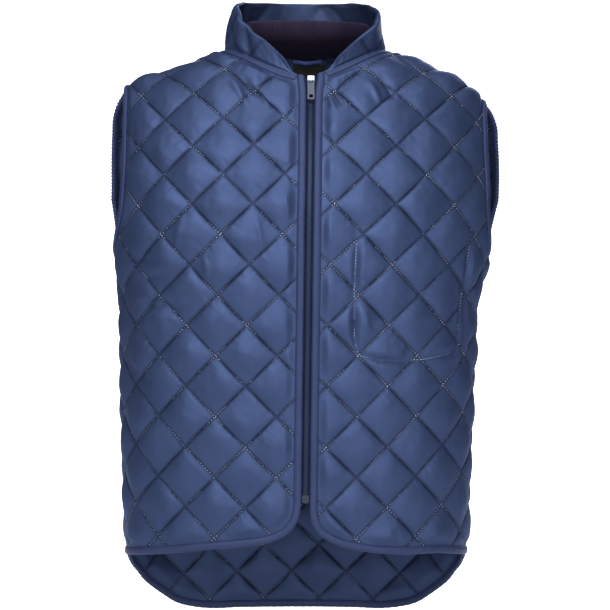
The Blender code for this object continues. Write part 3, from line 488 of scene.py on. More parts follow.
# The quilting: how the fullness and tilt of the diamonds vary, the shape of a puff from its stitch line
# up, and the height of the inside
FULLNESS_SPREAD = 0.34
TILT = 0.17
PUFF_POWER = 0.62
INSIDE_PUFF = 0.0060
# Small puckers across the stitch lines: rise, both pitches, and how fast they fade with distance
PUCKER, PUCKER_PITCHES = 0.00026, (0.0083, 0.0137)
PUCKER_LONG, PUCKER_START = 0.0085, 0.0016
# Uneven waves over a whole diamond: rise and scale
WAVES = ((0.0007, 0.042, 40), (0.00018, 0.016, 50))
# Tucks at the edges: pitch, rise and length, at the neck and elsewhere
NECK_TUCK_PITCH, TUCK_PITCH = 0.0105, 0.0078
GATHERED_TUCK, PLAIN_TUCK = 0.00060, 0.00038
NECK_TUCK_LONG, TUCK_LONG = 0.012, 0.007
# Painted shade: the cloth's colour is darkened along the stitch lines and inside the collar, where shade
# falls
GROOVE_SHADE_WIDE = 0.0020
INNER_SHADE = 0.70

# Places of the mesh across one diamond, from a stitch line to the middle, closer together at the line
CELL_FINE = (0, 0.012, 0.030, 0.055, 0.085, 0.12, 0.155, 0.19, 0.23, 0.27, 0.31, 0.35, 0.39, 0.43, 0.47)
CELL_PLAIN = (0, 0.015, 0.045, 0.09, 0.14, 0.20, 0.26, 0.32, 0.39, 0.46)

# The main creases: both ends in x and z, half width and height of the fold (below zero is a trough)
CREASE_COLUMNS = ("x0", "z0", "x1", "z1", "width", "rise")
CREASES = {
    "front_right": (
        (-0.212, -0.333, -0.146, -0.337, 0.0060, -0.0026),
        (-0.205, -0.318, -0.160, -0.322, 0.0070, 0.0022),
        (-0.214, -0.299, -0.150, -0.292, 0.0060, -0.0022),
        (-0.216, -0.268, -0.176, -0.279, 0.0055, -0.0022),
        (-0.150, -0.215, -0.158, -0.262, 0.0050, 0.0014),
        (-0.222, -0.400, -0.188, -0.432, 0.0070, -0.0018),
        (-0.060, -0.222, -0.050, -0.262, 0.0040, 0.0013),
        (-0.124, -0.268, -0.118, -0.300, 0.0035, 0.0012),
        (-0.026, -0.190, -0.020, -0.225, 0.0035, 0.0012),
        (-0.172, -0.607, -0.166, -0.630, 0.0035, -0.0014),
        (-0.100, -0.608, -0.094, -0.628, 0.0035, -0.0014),
        (-0.069, -0.606, -0.062, -0.622, 0.0035, -0.0013),
        (-0.092, -0.050, -0.070, -0.088, 0.0050, 0.0033),
        (-0.080, -0.046, -0.052, -0.078, 0.0045, -0.0030),
        (-0.060, -0.062, -0.042, -0.090, 0.0040, 0.0027),
    ),
    "front_left": (
        (0.203, -0.256, 0.197, -0.380, 0.0060, -0.0028),
        (0.214, -0.262, 0.210, -0.400, 0.0055, 0.0022),
        (0.192, -0.300, 0.190, -0.440, 0.0060, 0.0016),
        (0.221, -0.420, 0.217, -0.560, 0.0055, -0.0018),
        (0.064, -0.309, 0.080, -0.305, 0.0035, 0.0016),
        (0.072, -0.330, 0.078, -0.372, 0.0045, 0.0013),
        (0.128, -0.380, 0.120, -0.410, 0.0045, -0.0014),
        (0.108, -0.606, 0.118, -0.630, 0.0040, -0.0014),
        (0.130, -0.606, 0.140, -0.628, 0.0040, -0.0014),
        (0.024, -0.066, 0.038, -0.092, 0.0040, 0.0033),
        (0.034, -0.060, 0.048, -0.086, 0.0040, -0.0030),
        (0.078, -0.052, 0.096, -0.084, 0.0045, 0.0030),
        (0.094, -0.040, 0.112, -0.078, 0.0050, -0.0027),
    ),
    "back": (
        (-0.150, -0.110, -0.175, -0.200, 0.0070, 0.0020),
        (0.160, -0.120, 0.178, -0.210, 0.0070, 0.0020),
        (-0.205, -0.270, -0.190, -0.360, 0.0060, -0.0024),
        (0.205, -0.275, 0.192, -0.380, 0.0060, -0.0024),
        (-0.100, -0.010, -0.085, -0.060, 0.0050, 0.0018),
        (0.090, -0.012, 0.082, -0.055, 0.0050, 0.0018),
        (-0.030, 0.000, -0.026, -0.034, 0.0040, 0.0014),
        (0.040, 0.000, 0.036, -0.030, 0.0040, 0.0014),
        (-0.120, -0.330, -0.060, -0.350, 0.0080, -0.0016),
        (0.060, -0.420, 0.130, -0.400, 0.0080, -0.0016),
    ),
}


def table_row(columns, row):
    return dict(zip(columns, row))


def wobble(a, b, scale, seed):
    """Smooth uneven values from -1 to 1 over a flat surface."""
    source = np.random.default_rng(seed)
    total = 0.0
    for _ in range(5):
        turn = source.uniform(0, 2 * math.pi)
        wave = source.uniform(0.7, 1.5) * 2 * math.pi / scale
        total = total + np.sin((a * math.cos(turn) + b * math.sin(turn)) * wave + source.uniform(0, 6.3))
    return total / 3.2


def cell_value(p, q, seed):
    """A steady value from 0 to 1 for each diamond."""
    mixed = np.sin(np.floor(p) * 12.9898 + np.floor(q) * 78.233 + seed * 37.719) * 43758.5453
    return mixed - np.floor(mixed)


class Panel:
    """A quilted panel: its flat outline in runs, and the relief of its two faces."""

    def __init__(self, name, form, hand, crossing):
        self.name, self.form, self.hand, self.crossing = name, form, hand, crossing
        self.runs, self.grooves = [], []
        self.flat_patch = None

    def add(self, name, points, row=None):
        self.runs.append({"name": name, "points": points, "row": row})

    def run(self, name):
        return next(run for run in self.runs if run["name"] == name)

    def loop(self):
        return np.concatenate([run["points"][:-1] for run in self.runs])

    def space(self, flat):
        return self.form.at(np.array(flat) * (self.hand, 1))

    def crossings(self, flat):
        s, t = flat[:, 0] * self.hand - self.crossing[0], flat[:, 1] - self.crossing[1]
        return s / DIAMOND_WIDTH + t / DIAMOND_HEIGHT, s / DIAMOND_WIDTH - t / DIAMOND_HEIGHT

    def flat_from(self, p, q):
        s = self.crossing[0] + (p + q) * DIAMOND_WIDTH / 2
        t = self.crossing[1] + (p - q) * DIAMOND_HEIGHT / 2
        return np.column_stack([s * self.hand, t])

    def flat_line(self, row):
        """A crease's ends as flat points."""
        ends = []
        for x, z in ((row["x0"], row["z0"]), (row["x1"], row["z1"])):
            ends.append(self.form.flat_xz(self.hand * (x - float(section("centre_x", z))), z, self.hand))
        return np.array(ends)

    def relief(self, flat, face=OUTSIDE):
        """How far the cloth stands out from its flat layer, on the outside or the inside face."""
        p, q = self.crossings(flat)
        seed = 3 if face == OUTSIDE else 8
        fullness = 1 + FULLNESS_SPREAD * (cell_value(p, q, seed) - 0.5)
        puff = np.abs(np.sin(math.pi * p) * np.sin(math.pi * q)) ** PUFF_POWER * fullness
        height = (PUFF if face == OUTSIDE else INSIDE_PUFF) * puff
        s, t = flat[:, 0], flat[:, 1]
        for across, along, shift in ((p, q, 0), (q, p, 5)):
            line = np.round(across)
            gap = np.abs(across - line) * STEEP
            place = along * STEEP
            hand = np.where(across > line, 1.7, 0.0)
            short, long = (place * 2 * math.pi / pitch for pitch in PUCKER_PITCHES)
            wave = np.sin(short + line * 2.3 + hand + 2.2 * wobble(s, t, 0.045, seed + shift))
            wave += 0.7 * np.sin(long + line * 4.1 - hand)
            uneven = 0.35 + 0.65 * np.clip(0.5 + 0.9 * wobble(s, t, 0.07, seed + shift + 20), 0, 1)
            fade = np.exp(-gap / PUCKER_LONG) * (1 - np.exp(-gap / PUCKER_START))
            height = height + PUCKER * wave * uneven * fade
        a, b = p - np.floor(p) - 0.5, q - np.floor(q) - 0.5
        tilt_a, tilt_b = cell_value(p, q, seed + 1) - 0.5, cell_value(p, q, seed + 2) - 0.5
        height = height + puff * SIDE * TILT * (a * tilt_a + b * tilt_b)
        height = height + sum(rise * wobble(s, t, scale, seed + more) for rise, scale, more in WAVES) * puff
        for row in CREASES[self.name]:
            row = table_row(CREASE_COLUMNS, row)
            ends = self.flat_line(row)
            gap, along = nearest(flat, ends)
            share = along / np.linalg.norm(ends[1] - ends[0])
            bend = gap / row["width"] * (1 + 0.3 * wobble(s, t, 0.03, 77))
            taper = np.sin(math.pi * np.clip(share, 0.02, 0.98)) ** 0.7
            height = height + face * row["rise"] * np.exp(-bend * bend) * taper
        near = np.full(len(flat), np.inf)
        tucks = 0.0
        for k, run in enumerate(self.runs):
            gap, along = nearest(flat, run["points"])
            gap = gap - (0 if run["row"] is None else BINDING_WIDTH)
            near = np.minimum(near, gap)
            pitch = NECK_TUCK_PITCH if run["name"].startswith("neck") else TUCK_PITCH
            wave = np.sin(along * 2 * math.pi / pitch + 3 * wobble(s, t, 0.05, 60 + k))
            tall = GATHERED_TUCK if run["name"].startswith(("neck", "armhole")) else PLAIN_TUCK
            long = NECK_TUCK_LONG if run["name"].startswith("neck") else TUCK_LONG
            tucks = tucks + tall * wave * np.exp(-np.maximum(gap, 0) / long)
        height = (height + tucks) * ease(near / SEAM_FADE)
        for groove in self.grooves:
            gap, along = nearest(flat, groove)
            turn = along * 2 * math.pi / 0.0075 + 2 * wobble(s, t, 0.04, 91)
            wave = 0.0003 * np.sin(turn) * np.exp(-gap / 0.006)
            height = (height + wave) * ease(gap / 0.009) ** 0.6
        if self.flat_patch is not None and face == INSIDE:
            (s0, t0), (s1, t1) = self.flat_patch
            outside = np.maximum(np.maximum(s0 - s, s - s1), np.maximum(t0 - t, t - t1))
            height = height * ease(outside / 0.010)
        return height

    def lattice(self, cell):
        half = list(cell)
        whole = np.array(half + [1 - x for x in half[:0:-1]])
        steps = np.concatenate([whole + k for k in range(-14, 14)])
        p, q = np.meshgrid(steps, steps)
        points = self.flat_from(p.ravel(), q.ravel())
        loop = self.loop()
        low, high = loop.min(axis=0), loop.max(axis=0)
        points = points[np.all((points > low) & (points < high), axis=1)]
        points = points[inside(points, loop)]
        gap, _ = nearest(points, np.concatenate([loop, loop[:1]]))
        points = points[gap > 0.0012]
        for groove in self.grooves:
            gap, _ = nearest(points, groove)
            points = points[gap > 0.0008]
        return points

    def layer(self, cell):
        loop = self.loop()
        points = [tuple(p) for p in loop]
        edges = [(i, (i + 1) % len(loop)) for i in range(len(loop))]
        for groove in self.grooves:
            first = len(points)
            points += [tuple(p) for p in groove]
            edges += [(first + i, first + i + 1) for i in range(len(groove) - 1)]
        points += [tuple(p) for p in self.lattice(cell)]
        result = delaunay_2d_cdt(points, edges, [], 0, 1e-7)
        flat = np.array([tuple(p) for p in result[0]])
        triangles = np.array([tuple(f) for f in result[2]])
        triangles = triangles[inside(flat[triangles].mean(axis=1), loop)]
        order = {source: i for i, sources in enumerate(result[3]) for source in sources}
        return flat, triangles, [order[i] for i in range(len(loop))]

    def build(self, outer_cell, inner_cell, material):
        outer, outer_faces, outer_rim = self.layer(outer_cell)
        inner, inner_faces, inner_rim = self.layer(inner_cell)
        points, normals = self.space(outer)
        raised = points + normals * (WALL + self.relief(outer))[:, None]
        points, normals = self.space(inner)
        plain = points - normals * self.relief(inner, INSIDE)[:, None]
        shift = len(raised)
        a, b = np.array(outer_rim), np.roll(outer_rim, -1)
        c, d = np.roll(inner_rim, -1) + shift, np.array(inner_rim) + shift
        faces = np.concatenate([
            outer_faces, inner_faces[:, ::-1] + shift,
            np.column_stack([b, a, d]), np.column_stack([b, d, c]),
        ])
        made = new_mesh("cloth_" + self.name, np.concatenate([raised, plain]), faces, material)
        # Painted shade: weights that darken the cloth's colour along the stitch lines on both faces
        marks = []
        for flat in (outer, inner):
            p, q = self.crossings(flat)
            marks.append(painted_groove_shade(p, q))
        store_painted_shade(made, np.concatenate(marks))
        return made

    def edge(self, name):
        run = self.run(name)
        e, e_normal = self.space(run["points"])
        i, i_normal = self.space(run["row"])
        out = e - i
        out = unit(out - (out * e_normal).sum(axis=1, keepdims=True) * e_normal)
        return {"e": e, "en": e_normal, "i": i, "in": i_normal, "out": out}

    def stitches(self, face=OUTSIDE, keep=None):
        """Centres, directions and normals of the stitches along the quilting lines and grooves."""
        loop = self.loop()
        low, high = loop.min(axis=0), loop.max(axis=0)
        starts, ends = [], []
        count = int(14 * STEEP / STITCH_PITCH)
        along = (np.arange(-count, count) + 0.5) * STITCH_PITCH / STEEP
        half = STITCH_LONG / 2 / STEEP
        for line in range(-14, 15):
            fixed = np.full(len(along), float(line))
            starts += [self.flat_from(fixed, along - half), self.flat_from(along - half, fixed)]
            ends += [self.flat_from(fixed, along + half), self.flat_from(along + half, fixed)]
        starts, ends = np.concatenate(starts), np.concatenate(ends)
        for groove in self.grooves:
            line = even(groove, STITCH_PITCH)
            way = unit(np.gradient(line, axis=0))
            starts = np.concatenate([starts, line - way * STITCH_LONG / 2])
            ends = np.concatenate([ends, line + way * STITCH_LONG / 2])
        middle = (starts + ends) / 2
        kept = np.all((middle > low) & (middle < high), axis=1)
        starts, ends, middle = starts[kept], ends[kept], middle[kept]
        kept = inside(middle, loop)
        for run in self.runs:
            gap, _ = nearest(middle, run["points"])
            kept &= gap > (0.002 if run["row"] is None else BINDING_WIDTH + 0.001)
        if keep is not None:
            kept &= keep(middle)
        starts, ends = starts[kept], ends[kept]
        first, first_n = self.space(starts)
        last, last_n = self.space(ends)
        lift = (WALL + 0.00012) if face == OUTSIDE else -0.00012
        rise_a = self.relief(starts, face) * face + lift
        rise_b = self.relief(ends, face) * face + lift
        return first + first_n * rise_a[:, None], last + last_n * rise_b[:, None], first_n * face


STITCH_PITCH, STITCH_LONG, STITCH_THICK = 0.0040, 0.0020, 0.00036


def new_mesh(name, points, faces, material, sharp=70):
    mesh = bpy.data.meshes.new(name)
    mesh.from_pydata(np.asarray(points).tolist(), [], [[int(i) for i in face] for face in faces])
    mesh.materials.append(material)
    mesh.shade_smooth()
    mesh.set_sharp_from_angle(angle=math.radians(sharp))
    made = bpy.data.objects.new(name, mesh)
    bpy.context.scene.collection.objects.link(made)
    return made


def painted_groove_shade(p, q):
    """How near each place is to a stitch line, from 0 to 1: the weight of the shade painted into the grooves.
    """
    gap = np.minimum(np.abs(p - np.round(p)), np.abs(q - np.round(q))) * STEEP
    return np.exp(-(gap / GROOVE_SHADE_WIDE) ** 2)


def store_painted_shade(made, values):
    """Stores those values for the cloth's material, which paints shade into the grooves by darkening its
    colour there.
    """
    marks = made.data.attributes.new("groove", "FLOAT", "POINT")
    marks.data.foreach_set("value", np.asarray(values, dtype=np.float32).ravel())


def stitch_mesh(name, sets, material, thick=STITCH_THICK):
    """All the stitches of a piece as one mesh: a small spindle for each."""
    starts = np.concatenate([s[0] for s in sets])
    ends = np.concatenate([s[1] for s in sets])
    up = np.concatenate([s[2] for s in sets])
    way = unit(ends - starts)
    side = unit(np.cross(way, up))
    up = unit(np.cross(side, way))
    rings = []
    for share, size in ((0.0, 0.0), (0.22, 1.0), (0.78, 1.0), (1.0, 0.0)):
        centre = starts + (ends - starts) * share - up * thick * (1 - size)
        if size == 0.0:
            rings.append(centre[:, None])
        else:
            turns = [side, up, -side, -up]
            rings.append(np.stack([centre + turn * thick for turn in turns], axis=1))
    points = np.concatenate(rings, axis=1)
    count = points.shape[1]
    faces = []
    for k in range(4):
        m = (k + 1) % 4
        faces += [(0, 1 + m, 1 + k), (1 + k, 1 + m, 5 + m), (1 + k, 5 + m, 5 + k), (5 + k, 5 + m, 9)]
    faces = np.array(faces)
    every = (faces[None] + (np.arange(len(points)) * count)[:, None, None]).reshape(-1, 3)
    return new_mesh(name, points.reshape(-1, 3), every, material, 180)


def row_of_stitches(line, normals, pitch=STITCH_PITCH, long=STITCH_LONG):
    """Stitches along a line in space, as starts, ends and normals."""
    lengths = lengths_of(line)
    middles = np.arange(pitch, lengths[-1] - pitch, pitch)
    starts, ends = picked(line, lengths, middles - long / 2), picked(line, lengths, middles + long / 2)
    return starts, ends, unit(picked(normals, lengths, middles))


def grid_faces(rows, columns, closed=False):
    ids = np.arange(rows * columns).reshape(rows, columns)
    if closed:
        ids = np.concatenate([ids, ids[:1]])
    return np.stack([ids[:-1, :-1], ids[:-1, 1:], ids[1:, 1:], ids[1:, :-1]], axis=-1).reshape(-1, 4)


def swept(name, profiles, closed, material, sharp=50):
    """A closed tube through a list of matching closed profiles."""
    profiles = np.array(profiles)
    count, sides = profiles.shape[:2]
    ids = np.arange(count * sides).reshape(count, sides)
    wrapped = np.concatenate([ids, ids[:, :1]], axis=1)
    if closed:
        wrapped = np.concatenate([wrapped, wrapped[:1]])
    faces = np.stack([wrapped[:-1, :-1], wrapped[:-1, 1:], wrapped[1:, 1:], wrapped[1:, :-1]], axis=-1)
    faces = faces.reshape(-1, 4).tolist()
    if not closed:
        faces += [ids[0][::-1].tolist(), ids[-1].tolist()]
    return new_mesh(name, profiles.reshape(-1, 3), faces, material, sharp)


def sheet_solid(name, outer, inner, material, sharp=60):
    rows, columns = outer.shape[:2]
    count = rows * columns
    ids = np.arange(count).reshape(rows, columns)
    quads = grid_faces(rows, columns)
    around = np.concatenate([ids[0], ids[1:, -1], ids[-1, -2::-1], ids[-2:0:-1, 0]])
    after = np.roll(around, -1)
    rim = np.column_stack([after, around, around + count, after + count])
    faces = np.concatenate([quads, quads[:, ::-1] + count, rim])
    points = np.concatenate([outer.reshape(-1, 3), inner.reshape(-1, 3)])
    return new_mesh(name, points, faces, material, sharp)


def join_edges(*edges):
    whole = {key: edges[0][key] for key in edges[0]}
    for edge in edges[1:]:
        for key in whole:
            middle = (whole[key][-1:] + edge[key][:1]) / 2
            whole[key] = np.concatenate([whole[key][:-1], middle, edge[key][1:]])
    return whole


def close_edge(edge):
    for key in edge:
        middle = (edge[key][:1] + edge[key][-1:]) / 2
        edge[key] = np.concatenate([middle, edge[key][1:-1]])
    return edge


def reverse_edge(edge):
    return {key: values[::-1] for key, values in edge.items()}


def cut_edge(edge, first, last):
    return {key: values[first:last] for key, values in edge.items()}


def make_front(name, form, hand, hem_rows):
    panel = Panel(name, form, hand, CROSSINGS[name])

    def centre_flat(from_zip, z):
        from_line = hand * float(zip_x(z) - section("centre_x", z))
        return form.flat_xz(from_line + from_zip, z, hand)

    def from_zip_at(z):
        return EDGE_FROM_ZIP + TOP_FLARE * float(ease((z - ZIP_TOP_Z + FLARE_LONG) / FLARE_LONG))

    top_out = hand * ZIP_TOP_X + EDGE_FROM_ZIP + TOP_FLARE
    neck = neckline(form, hand, top_out)
    heights = np.linspace(ZIP_TOP_Z - 0.004, hem_rows[0][1], 60)
    centre = even([neck[-1]] + [centre_flat(from_zip_at(z), z) for z in heights], STATION)
    curve = smooth_line(np.concatenate([[[EDGE_FROM_ZIP, hem_rows[0][1] + 0.03]], hem_rows]), HEM_COLUMNS)
    curve = [centre_flat(out, z) for out, z in curve if z <= hem_rows[0][1]]
    seam = side_seam(form, hand, SIDE_HEM_Z)
    edge = np.concatenate([centre, even(curve + [seam[0]], STATION)[1:]])
    lengths = lengths_of(neck)
    total = lengths[-1]
    places = np.linspace(0, total - BINDING_WIDTH - COLLAR_START, 44)
    places = np.concatenate([places, [total - BINDING_WIDTH, total]])
    neck = picked(neck, lengths, places)
    shoulder_run = shoulder(form, hand)
    armhole_run = armhole(form, hand, GATHER_STATION)
    panel.add("edge", edge, inset(edge, neck[-2], seam[1]))
    panel.add("side", seam)
    panel.add("armhole", armhole_run, inset(armhole_run, seam[-2], shoulder_run[1]))
    panel.add("shoulder", shoulder_run)
    panel.add("neck", neck, inset(neck, shoulder_run[-2], neck[-1]))
    return panel


def smooth_line(rows, columns):
    rows = np.array(rows, float)
    keys = lengths_of(rows)
    table = np.column_stack([keys, rows])
    places = np.linspace(0, keys[-1], 160)
    return np.column_stack([read_table(table, ("along",) + columns, name, places) for name in columns])


def make_back(form):
    panel = Panel("back", form, 1, CROSSINGS["back"])
    halves = {}
    for hand in (-1, 1):
        line = smooth_line(np.concatenate([[[-TAIL[1][0], TAIL[1][1]]], TAIL]), TAIL_COLUMNS)
        seam = side_seam(form, hand, SIDE_HEM_Z)
        low = [form.flat_xz(float(out), float(z), hand) for out, z in line if out >= 0]
        neck = even(neckline(form, hand, 0.0), STATION)
        neck[-1][0] = 0.0
        halves[hand] = {
            "tail": even([(0.0, low[0][1])] + low + [seam[0]], STATION),
            "side": seam,
            "armhole": armhole(form, hand, GATHER_STATION),
            "shoulder": shoulder(form, hand),
            "neck": neck,
        }

    def mirrored(points):
        return points[::-1] * (-1, 1)

    left, right = halves[1], halves[-1]
    level = (left["tail"][0][1] + right["tail"][0][1]) / 2
    left["tail"][0][1] = right["tail"][0][1] = level
    top = (left["neck"][-1][1] + right["neck"][-1][1]) / 2
    left["neck"][-1][1] = right["neck"][-1][1] = top
    tail = np.concatenate([mirrored(right["tail"]), left["tail"][1:]])
    neck = np.concatenate([left["neck"], mirrored(right["neck"])[1:]])
    right_side, right_shoulder = mirrored(right["side"]), mirrored(right["shoulder"])
    right_armhole = mirrored(right["armhole"])
    panel.add("tail", tail, inset(tail, right_side[-2], left["side"][1]))
    panel.add("side_left", left["side"])
    panel.add("armhole_left", left["armhole"], inset(left["armhole"], left["side"][-2], left["shoulder"][1]))
    panel.add("shoulder_left", left["shoulder"])
    panel.add("neck", neck, inset(neck, left["shoulder"][-2], right_shoulder[1]))
    panel.add("shoulder_right", right_shoulder)
    panel.add("armhole_right", right_armhole, inset(right_armhole, right_shoulder[-2], right_side[1]))
    panel.add("side_right", right_side)
    return panel


# The folded binding, round from its inner edge on the outside to its inner edge on the inside: share of
# the way in from the cloth's edge, how far past the edge, and how far above the cloth's middle
FOLD_COLUMNS = ("share", "past", "above")
FOLD = (
    (1.00, 0.0000, 0.0013),
    (0.98, 0.0000, 0.0022),
    (0.90, 0.0000, 0.0027),
    (0.82, 0.0000, 0.0023),
    (0.72, 0.0000, 0.0029),
    (0.50, 0.0000, 0.0032),
    (0.25, 0.0000, 0.0032),
    (0.08, 0.0000, 0.0030),
    (0.00, 0.0007, 0.0022),
    (0.00, 0.0014, 0.0008),
    (0.00, 0.0014, -0.0008),
    (0.00, 0.0007, -0.0020),
    (0.08, 0.0000, -0.0026),
    (0.40, 0.0000, -0.0028),
    (0.72, 0.0000, -0.0026),
    (0.82, 0.0000, -0.0020),
    (0.90, 0.0000, -0.0024),
    (1.00, 0.0000, -0.0018),
    (1.00, 0.0000, -0.0013),
    (0.06, 0.0000, -0.0013),
    (0.00, 0.0004, -0.0008),
    (0.00, 0.0004, 0.0008),
    (0.06, 0.0000, 0.0013),
)


# Its stitches: how far in, then how far above the middle on each side and how much the waves lift them
STITCH_IN = 0.82
STITCH_ABOVE = ((0.0024, 0.6), (-0.0021, 0.0))


def fold_binding(name, edge, closed, material, waves):
    """Binding folded over an edge, with its waves, and its two rows of stitches."""
    profiles, stitch_lines, stitch_normals = [], ([], []), ([], [])
    for k in range(len(edge["e"])):
        e, i = edge["e"][k], edge["i"][k]
        e_n, i_n, out = edge["en"][k], edge["in"][k], edge["out"][k]
        profile = []
        for row in FOLD:
            row = table_row(FOLD_COLUMNS, row)
            share, above = row["share"], row["above"]
            swell = 1 - abs(2 * share - 1) ** 3 if share > 0 else 1.0
            lift = above + math.copysign(1, above) * waves[k] * swell * (0 if abs(above) < 0.0015 else 1)
            place = e + (i - e) * share
            normal = unit(e_n + (i_n - e_n) * share)
            past = row["past"] + (waves[k] * 0.9 if row["past"] > 0.0005 else 0)
            profile.append(place + normal * (WALL / 2 + lift) + out * past)
        profiles.append(profile)
        normal = unit(e_n + (i_n - e_n) * STITCH_IN)
        for side, (above, lifted) in enumerate(STITCH_ABOVE):
            lift = WALL / 2 + above + waves[k] * lifted
            stitch_lines[side].append(e + (i - e) * STITCH_IN + normal * lift)
            stitch_normals[side].append(normal * (1 if side == 0 else -1))
    made = swept(name, profiles, closed, material)
    sets = [row_of_stitches(np.array(stitch_lines[k]), np.array(stitch_normals[k])) for k in (0, 1)]
    return made, sets


def collar_grid(edge, rows_at):
    base = edge["e"] + edge["out"] * SEAM_GAP + edge["en"] * (WALL / 2)
    lengths = lengths_of(base)
    share = 1 - np.abs(2 * lengths / lengths[-1] - 1)
    level = np.gradient(base, axis=0) * (1, 1, 0)
    over = unit(np.cross((0, 0, 1), level))
    lean = read_table(COLLAR_TOP, COLLAR_COLUMNS, "lean", share)
    top = base + over * lean[:, None]
    top[:, 2] = read_table(COLLAR_TOP, COLLAR_COLUMNS, "z", share)
    start = ease(share / 0.06)[:, None]
    top = (base + edge["out"] * 0.003) * (1 - start) + top * start
    height = np.linalg.norm(top - base, axis=1)
    bend = base + edge["out"] * np.minimum(0.005, height * 0.3)[:, None]
    upper = top * 0.8 + base * 0.2 - over * (lean * 0.5)[:, None]
    rows = []
    for r in rows_at:
        lower = (1 - r) ** 3 * base + 3 * (1 - r) ** 2 * r * bend
        rows.append(lower + 3 * (1 - r) * r**2 * upper + r**3 * top)
    grid = np.array(rows)
    outward = unit(np.cross(np.gradient(grid, axis=1), np.gradient(grid, axis=0)))
    outward *= np.sign((outward * edge["en"][None]).sum(axis=2)[:1, :, None])
    half = np.minimum(COLLAR_HALF_WALL, height * 0.2)[None, :] * ease(np.array(rows_at) / 0.3)[:, None]
    half = np.maximum(half, np.minimum(WALL / 2, height * 0.2)[None, :])
    return grid, outward, half, share, lengths, height


# Vertical creases of the collar: share of its length from the wearer's right end, and their rise
COLLAR_CREASES = (
    (0.105, 0.0024, 0.006),
    (0.135, -0.0027, 0.006),
    (0.165, 0.0022, 0.007),
    (0.205, -0.0022, 0.008),
    (0.255, 0.0012, 0.010),
    (0.330, -0.0012, 0.010),
    (0.440, 0.0010, 0.012),
    (0.545, -0.0012, 0.010),
    (0.640, 0.0011, 0.012),
    (0.760, -0.0010, 0.010),
    (0.860, 0.0009, 0.008),
)


# Rows of its mesh up the collar, closer together at the seam and the top: first, last and number
COLLAR_ROWS = ((0, 0.06, 4), (0.085, 0.94, 44), (0.955, 1.0, 5))
# Heights of its diamonds on both faces, where their crossings lie, and the ribs of the knit
COLLAR_PUFFS = ((OUTSIDE, 0.0021), (INSIDE, 0.0028))
CROSSING_UP = 0.036
RIB_COUNT, RIB_DEEP, RIB_STEPS = 88, 0.0007, 7


